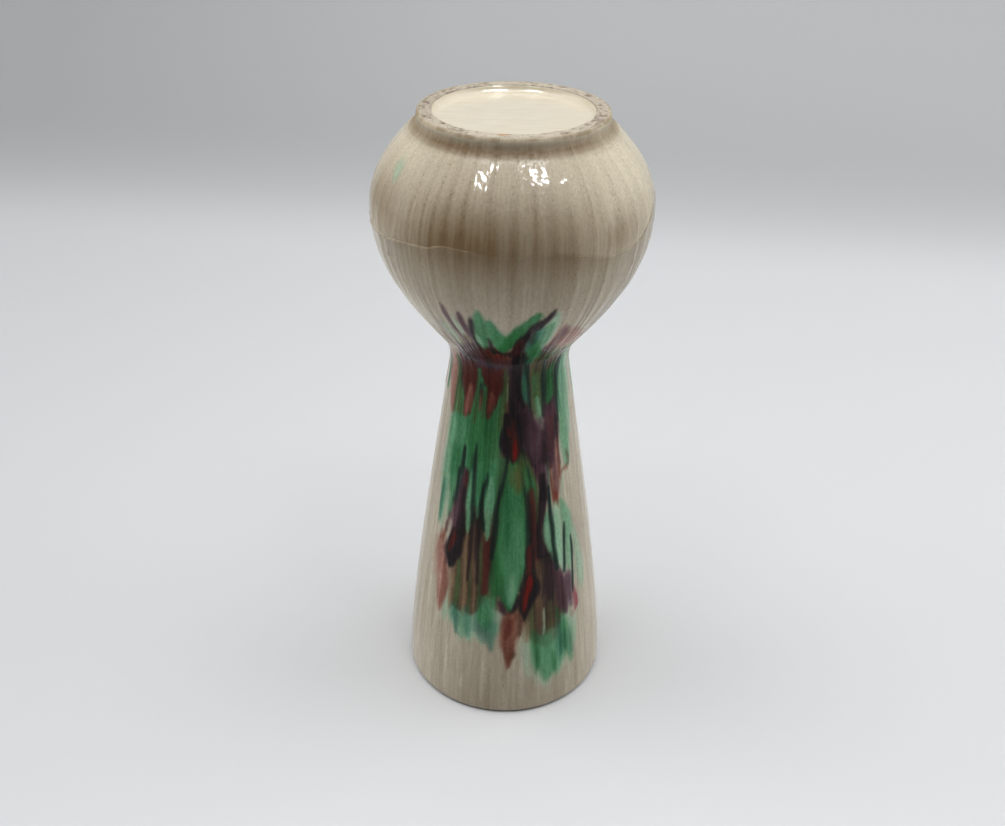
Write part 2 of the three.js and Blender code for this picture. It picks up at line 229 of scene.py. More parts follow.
# Each run: its glaze, its thickness, the softness of its edge in mm, then (turn, height, half width) along
# it, with the half width in degrees. They are laid on in this order.
RUNS = [
    # deep ground that shows wherever the later runs part
    ("umber", 0.95, 2.0, (-4, 99, 22), (-4, 92, 28), (-3, 85, 26), (-2, 78, 28), (-1, 70, 30), (0, 62, 33),
        (1, 54, 33), (2, 47, 30), (12, 42, 12), (14, 38, 6)),
    ("forest", 0.6, 1.8, (-6, 97, 18), (-4, 90, 24), (-2, 82, 20)),
    ("umber", 0.9, 1.6, (16, 136, 12), (24, 132, 24), (28, 128, 28), (28, 122, 24), (28, 116, 20),
        (28, 112, 18)),
    ("moss", 0.8, 1.6, (40, 134, 12), (44, 130, 17), (46, 126, 15)),
    ("sage", 0.75, 3.4, (-24, 47, 17), (-24, 41, 19), (-24, 36, 17), (-23, 33, 13), (-22, 30, 5)),
    ("teal", 0.3, 2.6, (-16, 42, 10), (-18, 37, 14), (-18, 33, 8)),
    ("sage", 0.75, 4.0, (28, 40, 13), (30, 34, 17), (29, 27, 17), (28, 21, 14), (27, 17, 8), (26, 14, 1)),
    ("mint", 0.75, 3.4, (30, 34, 12), (31, 27, 13), (30, 21, 11), (28, 18, 6), (27, 15, 1)),
    # crest on the bulb: pale patches, then the thin dark strokes at its left
    ("sage", 0.55, 1.0, (-35, 148, 0.5), (-34.5, 143, 3.5), (-34, 139, 4), (-33, 135, 3)),
    ("sage", 0.6, 0.8, (-27.5, 151, 0.6), (-26.5, 147, 2.4), (-25.5, 143.5, 2), (-25, 141.5, 0.5)),
    ("umber", 0.5, 1.5, (-25, 143, 1), (-26, 139, 5), (-30, 135, 9)),
    ("umber", 0.5, 1.2, (-43, 141, 0.5), (-44, 138, 1.8), (-45.5, 134.5, 2.5)),
    ("plum", 0.6, 0.7, (-38.2, 147.5, 0.2), (-37.6, 144, 0.8), (-36.8, 140, 0.7), (-36.2, 136, 0.8)),
    ("plum", 0.8, 0.8, (-31, 154.8, 0.3), (-30.8, 151, 1), (-30, 147, 0.7), (-28.6, 143, 0.9),
        (-27, 139.5, 1)),
    ("plum", 0.85, 0.8, (-23, 152.8, 0.3), (-23, 149, 1.4), (-21.8, 145, 2.2), (-21, 141, 1.4),
        (-20.6, 137, 1.2)),
    ("black", 0.85, 0.6, (-18.8, 151.6, 0.3), (-18.6, 148.6, 1.3), (-19.6, 145, 1.3), (-20.4, 141, 1),
        (-20.4, 137, 1.4)),
    # dark ground of the waist; its first umber run also paints the shade in the crease under the bulb
    ("umber", 0.85, 2.2, (-12, 138, 10), (-10, 134, 26), (-6, 130, 42), (0, 127, 50), (0, 122, 50)),
    ("plum", 0.85, 1.6, (-22, 138.6, 4), (-26, 135.4, 10), (-28, 132, 14), (-30, 129, 18), (-30, 126, 20)),
    ("oxblood", 0.85, 1.4, (-13, 138.4, 4), (-12, 135, 8), (-9, 132, 9), (-8, 129, 8)),
    ("plum", 0.9, 1.4, (-10, 131.4, 16), (-12, 128.6, 22), (-14, 125, 26)),
    ("oxblood", 0.55, 1.4, (-20, 131, 5), (-10, 130.4, 9), (-1, 129.4, 3)),
    ("black", 0.55, 1.4, (-36, 131, 3), (-35, 129, 4), (-34, 127.4, 2)),
    ("black", 0.7, 1.0, (-4, 136.4, 5), (-1, 134, 4)),
    # ground greens of the neck
    ("green", 0.95, 1.0, (-30, 126, 25), (-30, 118, 25), (-31, 108, 25.6), (-31, 101, 25.6), (-30, 96, 24),
        (-29, 91, 22), (-26, 87, 19), (-23, 83, 15), (-22, 80, 12)),
    ("forest", 0.62, 2.2, (-20, 118, 10), (-19, 111, 15), (-19, 106, 16), (-21, 101, 14), (-22, 96, 9),
        (-20, 92, 5)),
    ("moss", 0.35, 1.6, (-8.4, 110, 1), (-9, 104, 1.6), (-10, 99, 1.6), (-12, 94, 2)),
    ("mint", 0.45, 1.6, (-38, 107, 2.4), (-41, 102, 4), (-43, 98, 4)),
    ("sage", 0.8, 1.4, (-57, 108, 2.6), (-58, 100, 2.6), (-59, 92, 2.6), (-59.4, 85, 2), (-59.6, 79, 0.6)),
    ("mint", 0.9, 1.0, (-52, 106, 5), (-52.6, 99, 5), (-52.6, 92, 4.6), (-53, 85, 4), (-54, 78, 3.4),
        (-55, 72, 2.6), (-55.4, 68, 1)),
    ("green", 0.85, 1.0, (-46, 98, 3.6), (-46, 91, 4.2), (-45.4, 85, 3.8), (-45, 80, 3), (-45.4, 76, 1.6),
        (-46, 73, 0.4)),
    ("teal", 0.6, 1.1, (-54, 84, 1), (-54.4, 79, 2), (-54.6, 74, 2), (-55, 69.4, 0.8)),
    ("sage", 0.7, 1.0, (-51, 86, 1.4), (-51, 80, 1.8), (-51, 74, 1.8), (-51.4, 69, 1.2), (-52, 64, 0.5)),
    ("sage", 0.6, 1.0, (-48, 80, 1), (-48.4, 75, 1.2), (-47.6, 70, 1), (-47, 66, 0.6)),
    # right of the neck
    ("mint", 0.85, 1.0, (56, 129, 8), (55, 122, 7), (54, 116, 6), (53, 110, 6), (53, 104, 6.4),
        (53.4, 98, 5.6), (53.6, 93, 4.6), (53, 89.6, 2)),
    ("sage", 0.85, 1.2, (66, 128, 7), (64, 120, 5.6), (62.6, 113, 5), (61.6, 106, 3.6), (61, 100, 1.6)),
    ("mint", 0.4, 1.2, (64, 122, 4), (62.6, 113, 4), (61.6, 106, 2.4)),
    ("sage", 0.5, 1.6, (72, 127, 3), (71, 118, 2), (70, 112, 0.6)),
    ("teal", 0.6, 0.9, (57.6, 127, 1.3), (57.6, 120, 1), (57, 113, 0.9), (57, 106, 0.8), (57, 100, 0.3)),
    ("umber", 0.45, 0.9, (53.4, 95, 0.8), (54.6, 93, 2), (55.4, 91, 1.6), (54.6, 89.6, 0.6)),
    ("brick", 0.55, 0.5, (49, 88.2, 0), (49, 88.9, 5), (49.6, 89.6, 2), (54, 90.4, 0.4)),
    # oxblood collar, its drips and the slivers of green between them
    ("pink", 0.85, 1.0, (-66, 129, 10), (-66, 122, 9.6), (-63, 116, 7), (-60, 112, 4.4), (-58, 109, 2.4),
        (-57.6, 107.4, 0)),
    ("brick", 0.3, 1.2, (-59, 120, 1.5), (-58, 112, 1.5), (-57.6, 108, 0.4)),
    ("moss", 0.85, 1.3, (-54, 127, 3), (-52.6, 120, 4), (-50, 114, 5), (-48, 109, 5)),
    ("oxblood", 0.95, 0.7, (-41, 128.6, 10), (-41, 124, 10.4), (-40, 120, 9), (-39, 117, 6.6),
        (-38.4, 114.4, 4.8), (-39, 111.6, 4), (-40, 109.2, 0)),
    ("pink", 0.85, 1.0, (-37, 119, 2), (-37.6, 115, 3.8), (-38.6, 112, 3.6), (-40, 109.4, 0)),
    ("brick", 0.45, 0.7, (-35, 118, 1), (-35.4, 114, 1.4), (-36, 111, 0.6)),
    ("plum", 0.6, 0.8, (-50.6, 125, 0.8), (-49.4, 120, 0.8), (-45.6, 116.6, 0.6)),
    ("moss", 0.9, 0.7, (-29.6, 123, 0.6), (-30, 118, 1.2), (-30.4, 112, 1.6), (-30.6, 108, 1.8)),
    ("oxblood", 1.0, 0.7, (-15.5, 127, 11), (-15.6, 123.4, 11.2), (-13, 120, 7.4), (-14.6, 117, 5),
        (-16.4, 114.4, 3.6), (-17.8, 111.6, 2.2), (-18.6, 109.3, 0)),
    ("brick", 0.85, 0.6, (-25.6, 119, 2.2), (-25.6, 115.6, 2.2), (-26, 113, 1.6), (-26.2, 111.6, 0)),
    ("black", 0.5, 0.8, (-26, 121, 2), (-26, 117.6, 1)),
    ("brick", 0.75, 0.8, (-14.6, 118, 2.6), (-16.4, 114.6, 3), (-17.8, 111.8, 1.8), (-18.6, 109.6, 0)),
    ("moss", 0.95, 0.5, (-20.6, 120.8, 0.3), (-21.4, 117, 1.2), (-22, 113, 1.4), (-22.6, 110, 1.6)),
    ("moss", 0.9, 1.0, (-3.4, 127, 1.4), (-3.6, 122, 2.4), (-4, 117, 3.6), (-5, 112, 4.4), (-5, 108, 3)),
    # green V on the bulb
    ("green", 0.9, 0.8, (-14.6, 155, 0.3), (-14.4, 151, 2.8), (-14.2, 147, 4), (-14.6, 143, 4.2),
        (-15.6, 139.5, 3.4), (-16, 137.3, 0)),
    ("sage", 0.7, 0.8, (-17.4, 144, 0.8), (-17, 140.5, 2.4), (-16.6, 138, 0.6)),
    ("forest", 0.6, 1.2, (-12, 150, 0.8), (-12, 146, 1.4), (-12.6, 142, 1)),
    ("green", 0.95, 0.7, (-10.4, 151.6, 0.8), (-9, 148.4, 3), (-6.8, 145.4, 4.4), (-5, 142, 5),
        (-5, 138, 3), (-4.8, 136.3, 0)),
    ("forest", 0.95, 0.8, (12.6, 154, 0.8), (9.6, 150.8, 3.4), (6, 147.6, 4.8), (3, 144.6, 5),
        (0.4, 141.6, 4.4), (-2.4, 139, 3.6), (-4.2, 137, 1.8), (-4.8, 136.2, 0)),
    ("green", 0.8, 0.9, (12.4, 153.4, 0.8), (10, 151, 1.8), (7.4, 149.6, 1.6)),
    ("black", 0.85, 0.6, (-11.2, 142.6, 0.2), (-11.4, 140, 1), (-11, 137.5, 1.8), (-8, 135.6, 3)),
    # right of the V: sage, teal and the pink patch
    ("sage", 0.9, 0.9, (21, 154, 0.6), (20.4, 150.6, 2.6), (19, 147, 4), (18, 143, 5), (17.6, 139.6, 5)),
    ("green", 0.55, 1.4, (19, 149, 1.6), (17.4, 144, 3), (17, 140, 4)),
    ("teal", 0.8, 1.0, (14.6, 148.6, 0.8), (13.6, 145, 2.8), (12.6, 141, 3.4), (12, 137.4, 3),
        (12.6, 134, 2)),
    ("ink", 0.7, 1.0, (12, 147, 0.5), (11.6, 143, 1.8), (13.6, 139.4, 1), (15, 136.5, 1)),
    ("pink", 0.75, 1.1, (28, 147.6, 0.4), (29, 144, 3), (28.4, 141, 3.4), (26.6, 138.4, 3.2),
        (25, 136, 2.4)),
    ("plum", 0.55, 1.1, (28.6, 146.6, 0.8), (29.4, 143.4, 2.4), (27.6, 140, 2.6), (25.4, 136.4, 2.2),
        (25.4, 132.6, 1.8)),
    ("pink", 0.55, 1.4, (37, 144, 0.3), (37.4, 141.8, 1.4), (36.4, 139.6, 1)),
    ("pink", 0.72, 1.8, (35, 144.6, 1), (38, 141.4, 7), (40, 138.4, 11), (43, 135.5, 14)),
    ("plum", 0.4, 1.2, (25, 138.4, 3), (25, 134, 5)),
    ("moss", 0.65, 1.6, (32, 137, 2), (33, 134, 5), (33, 130, 6)),
    ("green", 0.9, 0.9, (17, 141, 2.4), (16.6, 138, 4.8), (17, 135, 5.6), (18, 131.6, 4.4),
        (18.6, 129, 3)),
    ("forest", 0.5, 1.0, (17, 138, 3), (18, 133, 4)),
    # dark arm, and the near-black column that it feeds
    ("black", 0.95, 0.7, (18.6, 155, 0), (17.6, 152.8, 1.6), (15.4, 151, 2.6), (12.4, 148.6, 2.8),
        (9.4, 146, 2.8), (7.2, 143.4, 3), (5.8, 140.4, 3.4), (4.6, 137.4, 4), (4.4, 134, 4.4)),
    ("oxblood", 0.6, 1.2, (6, 143, 1.2), (4.6, 139, 2.6), (3.6, 134, 4)),
    ("black", 1.0, 0.8, (5.6, 135, 4.6), (6.8, 128, 5), (6.4, 122, 5.4), (6.6, 117, 6.6), (8, 112, 9),
        (9, 107, 10.6)),
    ("plum", 0.55, 1.2, (3.6, 124, 1.6), (4, 118, 2.4), (9, 114, 2), (12, 110, 4)),
    ("oxblood", 0.5, 1.0, (-1, 116, 1.2), (-1.6, 111, 1.6), (-1, 107, 2.4)),
    ("teal", 0.95, 0.6, (15, 131, 2.4), (14.4, 127, 2), (14.2, 123.4, 2.6), (14.4, 120, 2.6),
        (15.2, 117, 2), (16.6, 114.6, 1.2), (17.4, 112.8, 0)),
    ("green", 0.4, 0.9, (13.4, 123, 1.2), (14, 119.4, 1.4)),
    ("moss", 0.95, 0.7, (25, 132, 5), (25, 126, 5.6), (25.6, 121, 5), (25.6, 117, 4.8), (26.2, 113.6, 4.2),
        (27, 110.8, 2.6), (27.2, 108.2, 0)),
    ("umber", 0.75, 1.2, (24, 131.4, 5), (25, 127.6, 4.4), (26, 125.4, 2)),
    ("green", 0.6, 1.4, (23.4, 123, 2.6), (23.6, 118, 2.6)),
    ("mint", 0.35, 1.2, (23.6, 123.4, 2.2), (24.4, 118, 2.2)),
    ("mint", 0.95, 1.3, (25.8, 116.6, 3.8), (26.2, 113.4, 3.8), (27, 110.8, 2.4), (27.2, 108.4, 0)),
    ("sage", 0.55, 1.0, (26.2, 114.4, 1.8), (26.8, 111.4, 2.2), (27.2, 109.4, 0.6)),
    ("forest", 0.95, 0.8, (40.6, 127, 4.6), (41, 122, 5.6), (40.4, 118, 5.8), (39.6, 115, 5),
        (39.4, 113.2, 3.6)),
    ("green", 0.5, 1.2, (39, 120, 2.4), (38, 116, 3)),
    ("umber", 0.8, 1.3, (39, 132, 7), (38.6, 128, 5), (38, 125.6, 3.4)),
    ("teal", 0.9, 1.0, (51, 128, 2.2), (50, 122, 2), (48.6, 116, 1.6), (47.4, 110, 1.2)),
    ("ink", 1.0, 0.8, (50.6, 128.4, 2), (49.4, 125, 2.6), (48.4, 121, 2.6), (47.4, 116.6, 2),
        (46.4, 112, 1.4), (45.8, 107, 1)),
    ("ink", 1.0, 0.7, (31.4, 132, 0.8), (33, 128, 2.2), (33, 123, 2.7), (32.9, 118, 2.5), (32.6, 114, 1.7),
        (32, 110.6, 1)),
    ("ink", 0.95, 0.6, (11.4, 133, 1), (12.2, 129.6, 1.2), (15.6, 127, 1.8), (17, 124, 1.5),
        (18.4, 121, 1.4), (18.4, 117, 1.6), (18.8, 113, 1.5), (20.4, 109, 1.2), (22, 106.4, 0.8)),
    # plum under the column
    ("plum", 0.95, 1.0, (14, 114, 4), (17, 110, 7), (19, 106, 9), (21, 101, 9.6), (23, 97, 8),
        (25, 93, 5.4), (26.6, 89, 4), (28, 85, 3.4), (28.6, 81, 2.6)),
    ("plum", 1.0, 0.9, (38, 114.6, 6), (38.4, 110, 7.4), (38.4, 105, 7.6), (38, 100, 7), (36.6, 96, 4.6),
        (35.6, 92, 2.4)),
    ("plum", 0.9, 1.2, (31, 106, 4), (31, 100, 4), (30, 95, 4)),
    ("oxblood", 0.3, 1.4, (38, 110, 4), (38, 104, 4), (37, 98, 3)),
    ("black", 0.5, 1.2, (12, 112, 2), (13, 106, 2.4), (14, 100, 2.6), (17, 96.4, 3), (20, 94, 2)),
    ("black", 0.6, 1.0, (31, 108, 0.8), (31, 103, 1.2), (30, 98, 2.4), (28, 94.6, 3)),
    ("black", 0.5, 0.8, (42.6, 108, 0.6), (41, 103, 0.8), (40, 99, 0.5)),
    ("black", 0.7, 0.7, (45, 109, 0.8), (45, 102, 0.8), (44.6, 97, 0.7), (44.4, 92, 0.6)),
    ("lilac", 0.75, 1.1, (27.4, 110, 1.2), (26.6, 107, 2.4), (25.6, 104, 2), (24.6, 101, 1)),
    ("lilac", 0.35, 1.6, (20, 102, 2), (20.6, 98.6, 2), (21, 96, 0.8)),
    ("ink", 0.5, 1.0, (32.4, 95, 0.8), (32.6, 90, 1.4), (32, 85.6, 1)),
    # bead at the heart of the neck
    ("black", 1.0, 0.7, (3, 111, 6), (3.4, 107, 7.4), (4, 103, 7.4), (4.4, 99.6, 6), (5, 96.4, 3.4),
        (5.6, 94.8, 0)),
    ("black", 1.0, 0.6, (-1.4, 112, 2.6), (-1.6, 108.4, 3), (-2.6, 105.4, 3.6), (-2.6, 102, 4.2),
        (-1.8, 99.4, 3.4), (-0.8, 97, 1.4), (-0.8, 95.6, 0)),
    ("oxblood", 0.8, 0.8, (3, 111, 1.6), (3.6, 107.6, 2.6), (5, 103.6, 3.2), (5.6, 99.4, 3.2),
        (5.8, 96.4, 1.6)),
    ("ruby", 0.95, 0.7, (5.2, 104, 0.4), (5.4, 101.4, 2), (5.8, 98.6, 2.4), (5.8, 96.6, 1)),
    ("ruby", 0.55, 0.8, (-0.6, 107.4, 0.4), (0, 105.8, 1.6), (1.4, 104.6, 0.6)),
    # beneath the bead: moss, forest and fine dark lines
    ("moss", 0.95, 1.0, (11, 98, 2), (13, 93, 6), (15, 88, 7.4), (16.6, 84, 6.6), (18, 80, 4.4),
        (18, 76, 2)),
    ("forest", 0.65, 1.2, (13, 94, 2), (15, 90, 4), (17, 86, 4.6), (19, 82, 2.4)),
    ("ink", 0.8, 0.5, (11.6, 100, 0.8), (13.4, 96, 0.8), (15.4, 92.4, 0.8), (17, 89, 0.7), (18, 86, 0.3)),
    ("green", 0.5, 0.8, (19.6, 89, 0.8), (20.4, 85, 1.3), (20, 81.4, 0.6)),
    # columns right of the leaf
    ("oxblood", 0.9, 0.9, (17.6, 86, 1.4), (18, 81, 2.8), (18.4, 76, 3.4), (18.6, 70, 3.8), (18.6, 64, 4),
        (18, 58, 4)),
    ("black", 0.35, 0.9, (17.8, 81, 1.6), (17.8, 72, 2), (18, 63, 2)),
    ("brick", 0.35, 0.9, (20, 74, 1), (20.2, 68, 1), (20.6, 62, 1.2), (21, 56, 1.4)),
    ("green", 0.5, 0.9, (12.6, 93, 1.6), (13.6, 89, 2.6), (14.4, 85.6, 1.4)),
    ("black", 0.85, 0.6, (15.4, 85, 0.4), (15.4, 81, 1.1), (15.6, 74, 0.8), (15.8, 67, 0.8)),
    ("black", 0.95, 0.8, (27, 91, 1.6), (27.4, 86, 2.6), (26.4, 81, 3.2), (24.8, 76.6, 2.8),
        (23.8, 71, 2.8), (24, 66, 3.2), (25.6, 61, 4.6)),
    ("plum", 0.6, 0.9, (26.6, 80, 1.6), (25, 74, 1.4), (24, 68, 1.2), (26, 62, 2)),
    ("moss", 0.75, 0.6, (22.6, 87, 0.8), (22.2, 80, 0.8), (21.4, 74, 0.6)),
    # pink run at the right
    ("sage", 0.4, 1.4, (45, 91, 1), (45, 86, 1.8), (44, 81, 2)),
    ("pink", 0.9, 0.9, (41.6, 100.6, 0.6), (41.6, 97, 1.8), (40.6, 93, 3.2), (40, 89, 3.8),
        (39.4, 85, 3.4), (39, 81.6, 2.2), (38.8, 77.8, 0)),
    ("plum", 0.25, 1.0, (40.8, 94, 2), (40, 88, 2.8), (39.2, 82, 1.6)),
    ("plum", 0.55, 0.9, (38.2, 100, 1), (38.4, 96, 1.2), (38.2, 92, 0.8), (37.6, 88, 0.5)),
    ("brick", 0.8, 0.6, (43.8, 100, 0.7), (43.6, 95, 0.7), (43.6, 91, 0.8), (42.6, 87, 0.7)),
    ("brick", 0.9, 0.8, (35.4, 94, 0.8), (35.6, 90, 1.2), (36, 86, 1.5), (37.2, 82.4, 2),
        (38.4, 79.4, 1.8), (38.8, 77.4, 0)),
    ("ruby", 0.3, 0.9, (38, 83, 0.8), (38.6, 80, 1.3)),
    # brown ground under the left fingers, and its stripes
    ("umber", 0.95, 1.0, (-22, 77, 12), (-23, 70, 14.4), (-24, 64, 16), (-24, 58, 16), (-24.6, 52, 14),
        (-25.6, 47, 12.6), (-27, 43, 11), (-28, 40, 8)),
    ("tan", 0.8, 0.8, (-28.4, 70, 1.2), (-28, 62, 1.8), (-27.8, 54, 1.8), (-27.4, 47, 1.8),
        (-27.2, 42, 1.4), (-27, 38.6, 0)),
    ("tan", 0.6, 0.7, (-20.6, 60, 0.8), (-20.6, 54, 1.2), (-20.6, 48, 1.3), (-20.4, 43, 1),
        (-20.2, 39, 0.3)),
    ("black", 0.75, 0.6, (-24.8, 76, 1.2), (-24.8, 66, 1.2), (-24.8, 58, 1), (-25, 52, 0.6)),
    ("black", 0.7, 0.8, (-20.4, 77, 2.4), (-20, 70, 2), (-19.6, 64, 1.8), (-19.2, 58, 1.3),
        (-19, 52, 0.8)),
    ("moss", 0.85, 0.6, (-23.6, 58, 0.5), (-23.6, 52, 1), (-23.8, 46, 1), (-24, 41, 0.8)),
    ("moss", 0.9, 0.6, (-17, 68, 0.8), (-16.8, 62, 1.2), (-16.8, 56, 1.1), (-17.2, 50, 1),
        (-17.2, 45, 0.8)),
    ("moss", 0.9, 0.8, (-33, 59, 1), (-32.8, 54, 1.8), (-32.6, 48, 2), (-32.8, 43, 1.8), (-33, 39, 1)),
    ("tan", 0.8, 0.9, (-37.6, 57, 0.8), (-37.4, 52, 1.6), (-37.4, 47, 1.8), (-37.4, 42, 1.6),
        (-37.4, 38, 0.6)),
    ("oxblood", 0.85, 0.8, (-13, 70, 2.6), (-13, 64, 2.6), (-13.4, 58, 2.2), (-13.8, 52, 1.9),
        (-14, 48, 1.4), (-14.2, 45.6, 0)),
    ("forest", 0.85, 1.0, (-8.4, 64, 1), (-7.6, 58, 2.6), (-7.6, 52, 3.2), (-8, 47, 2.4), (-8, 44, 1)),
    # left column, its bead and the pink run
    ("plum", 0.95, 0.8, (-34, 91.6, 1.6), (-34.6, 88, 3.2), (-36, 83, 4.6), (-37, 78, 4.8),
        (-37.4, 73, 4.4), (-37.6, 68, 4.4)),
    ("oxblood", 0.5, 0.8, (-32.6, 90.6, 1.2), (-33, 87, 1.8), (-33.6, 84, 0.8)),
    ("black", 0.8, 0.9, (-33.6, 85, 1.2), (-34, 79, 2.2), (-33.8, 74, 3), (-33.6, 68, 3.4)),
    ("lilac", 0.5, 1.0, (-38.4, 78.6, 0.8), (-38.4, 75, 1.4), (-38.6, 71.4, 0.8)),
    ("ink", 0.85, 0.8, (-39.4, 91, 1.4), (-40, 86, 1.9), (-40.8, 82, 1.6), (-42, 78.4, 1)),
    ("plum", 0.5, 1.0, (-41.4, 80, 1.2), (-42, 76, 1.2), (-43.6, 72, 1)),
    ("pink", 0.3, 2.2, (-55, 62, 2), (-54, 55, 3), (-53, 48, 2)),
    ("pink", 0.9, 1.1, (-49.6, 66, 0.8), (-50, 62, 3), (-49.4, 58, 5.4), (-47.4, 54, 6), (-46.6, 50, 5.4),
        (-45.8, 46, 4.8), (-45.8, 42, 3.8), (-46, 39, 2.6), (-46, 36, 0)),
    ("brick", 0.6, 1.0, (-44.4, 57, 1.6), (-43.6, 52, 2.2), (-43.6, 47, 2.4), (-44.4, 42, 2),
        (-45.4, 38.4, 1)),
    ("brick", 0.7, 0.6, (-46.6, 71, 0.4), (-47.6, 68, 0.9), (-49, 65, 1), (-50.6, 62, 1)),
    ("plum", 0.5, 0.7, (-45, 74, 0.5), (-46, 70, 0.8), (-47, 67, 0.4)),
    ("plum", 0.5, 0.8, (-47, 61, 0.5), (-44, 58.6, 1.6), (-42.6, 56, 1.4)),
    ("cream", 0.85, 1.1, (-48.2, 51, 0.4), (-48.2, 49, 1.3), (-48, 47.4, 0.4)),
    ("black", 1.0, 0.7, (-36.6, 69, 4.4), (-38, 65, 6.4), (-38.6, 61.6, 7), (-38.8, 59, 5.6),
        (-39, 57, 3.2), (-39.4, 54.6, 0)),
    ("oxblood", 0.9, 1.0, (-38, 68.4, 1), (-39.6, 65.4, 2.8), (-41.6, 62.4, 2.6), (-43, 60, 0.8)),
    ("ruby", 0.35, 1.0, (-38.6, 67.4, 0.8), (-39.8, 65, 1.8), (-41, 62.6, 1)),
    # fingers, and the dark lines between them
    ("mint", 0.95, 0.55, (-28.8, 92, 0.4), (-29, 88, 1.2), (-29.4, 84, 1.9), (-29.4, 80, 2.2),
        (-29, 76, 2.5), (-28.6, 72.6, 2.5), (-28, 70, 0.6)),
    ("green", 0.9, 0.55, (-22, 95, 3), (-22.4, 90, 3.2), (-22.4, 86, 2.6), (-22.2, 82, 1.8),
        (-21.8, 78.6, 1.3), (-21.6, 75.2, 0)),
    ("mint", 0.5, 0.8, (-22.2, 85, 0.8), (-21.8, 80, 1), (-21.6, 76, 0.6)),
    ("green", 0.8, 0.8, (-11.4, 97, 4), (-12, 91, 4.4), (-13, 86, 3.6)),
    ("mint", 0.95, 0.55, (-12, 91, 1), (-12.4, 87, 3), (-12.8, 84, 3.8), (-13.2, 81, 3.8),
        (-13.6, 77, 3.2), (-13.4, 73, 2.6), (-13.2, 70.4, 2.2), (-13.2, 68.4, 0)),
    ("ink", 0.95, 0.6, (-36.8, 99, 0.4), (-37, 95.6, 1.7), (-37.4, 92, 1.7), (-38.4, 88.6, 1.3)),
    ("ink", 0.95, 0.6, (-26.4, 101, 0.5), (-26.8, 97, 1.7), (-27, 92.6, 1.8), (-26.6, 88, 1.5),
        (-26, 84, 1.3), (-25.4, 79.6, 1.5), (-24.8, 76, 1.6), (-24.4, 73, 1.4)),
    ("ink", 0.95, 0.6, (-16, 92.4, 0.3), (-16.6, 89.4, 1.2), (-18.2, 86.6, 1.8), (-18.6, 83, 1.6),
        (-18.8, 79, 1.7), (-18, 75.6, 1.8), (-17.6, 72.6, 1.4)),
    # leaf
    ("forest", 0.95, 0.7, (5, 96, 3), (4.6, 92, 6), (3.6, 87, 8.2), (3.2, 81, 9.6), (3.6, 75, 10.8),
        (3.8, 70, 11.3), (3.2, 64, 11.6), (2, 58, 10.6), (1, 53, 8.4), (2, 48, 5.4), (2, 44, 2.8),
        (2.2, 41.6, 0)),
    ("green", 0.9, 1.2, (4, 93, 2), (4, 86, 6), (4, 78, 9), (4, 70, 10), (4, 62, 9.6), (3.4, 55, 7),
        (3, 49, 4.6), (2.4, 44, 1.8)),
    ("mint", 0.45, 2.2, (9, 76, 2.4), (8, 68, 4.4), (6, 60, 6.4), (4.4, 54, 5), (3.4, 48.6, 3.4),
        (2.4, 44, 1.2)),
    ("sage", 0.55, 1.6, (4.4, 56, 1.4), (3.4, 50, 3), (2.6, 45, 1.2)),
    ("ink", 0.85, 0.6, (10.6, 92, 0.3), (12.8, 86, 0.9), (14.6, 79, 1), (15.4, 72, 1), (15.2, 66, 1),
        (13.8, 60, 0.9), (11.4, 54, 0.8), (9, 49.6, 0.7)),
    ("forest", 0.8, 1.2, (-6.4, 64, 1.2), (-6, 59, 2.6), (-5.6, 54, 3), (-5.4, 49, 2)),
    ("moss", 0.7, 1.2, (2, 95, 1), (3, 92, 3), (3, 89, 2)),
    ("gold", 0.95, 1.6, (7.6, 95, 1.4), (8.2, 91.6, 3), (8.2, 88, 2.6), (8, 85.6, 0.8)),
    ("ink", 1.0, 0.6, (-0.8, 97.6, 0.8), (-1.6, 94, 1), (-3, 90.6, 1.3), (-4.6, 87, 1.5), (-6.2, 83, 1.6),
        (-7.4, 79, 1.5), (-8.2, 75, 1.4), (-8.8, 71, 1.4), (-9.2, 67, 1.5), (-10, 62, 1.2)),
    # lens and the mint at the right, with their lines
    ("mint", 0.95, 0.6, (30, 77.6, 0.2), (29.4, 74.6, 2.2), (29, 71, 3.4), (29.2, 67.6, 3.4),
        (30.2, 64, 2.6), (31.6, 60.4, 1.2), (32.4, 58.4, 0)),
    ("sage", 0.5, 0.9, (29, 72, 1), (29, 68, 1.6), (30, 64, 1)),
    ("mint", 0.8, 1.0, (42.4, 80, 1), (44, 76.6, 3.4), (46, 73, 5), (47, 69, 5), (47, 65, 4.4),
        (46.4, 60.6, 3.6), (46, 56.6, 2.8), (45.8, 53, 1.2)),
    ("sage", 0.95, 0.9, (37, 80, 1), (37.4, 76, 3), (37.6, 71, 3.8), (37.8, 66, 3.6), (38.4, 61, 3.2),
        (39.4, 57, 2.4), (40, 54, 0.6)),
    ("sage", 0.6, 1.2, (46.6, 64, 1.4), (46, 59, 2.4), (45.8, 55, 1.6)),
    ("mint", 0.4, 1.0, (37.4, 76, 2.6), (37.8, 66, 3.2), (39, 58, 2)),
    ("sage", 0.75, 1.3, (53, 68, 1.4), (54.6, 62, 3.4), (56, 56, 4.2), (57, 50, 4.2), (57.6, 45, 2.6),
        (58, 42.4, 0.6)),
    # dark ground at the lower right
    ("umber", 0.95, 1.2, (23, 60, 6), (25, 55, 9), (27, 50, 12), (27.6, 46, 13), (27, 42, 13),
        (26, 38, 12.6), (25, 34, 11), (24.6, 30, 9), (25, 27, 4)),
    ("black", 0.75, 1.2, (27, 62, 3.4), (29, 57, 4.6), (29, 52, 5), (28, 47, 5), (28.4, 42, 3.4),
        (29, 37, 2.4)),
    ("plum", 0.85, 1.1, (31, 58, 2.4), (35, 53.6, 4.6), (38, 49, 5), (39, 44.6, 5), (39.6, 40, 3.6),
        (40, 37, 1.4)),
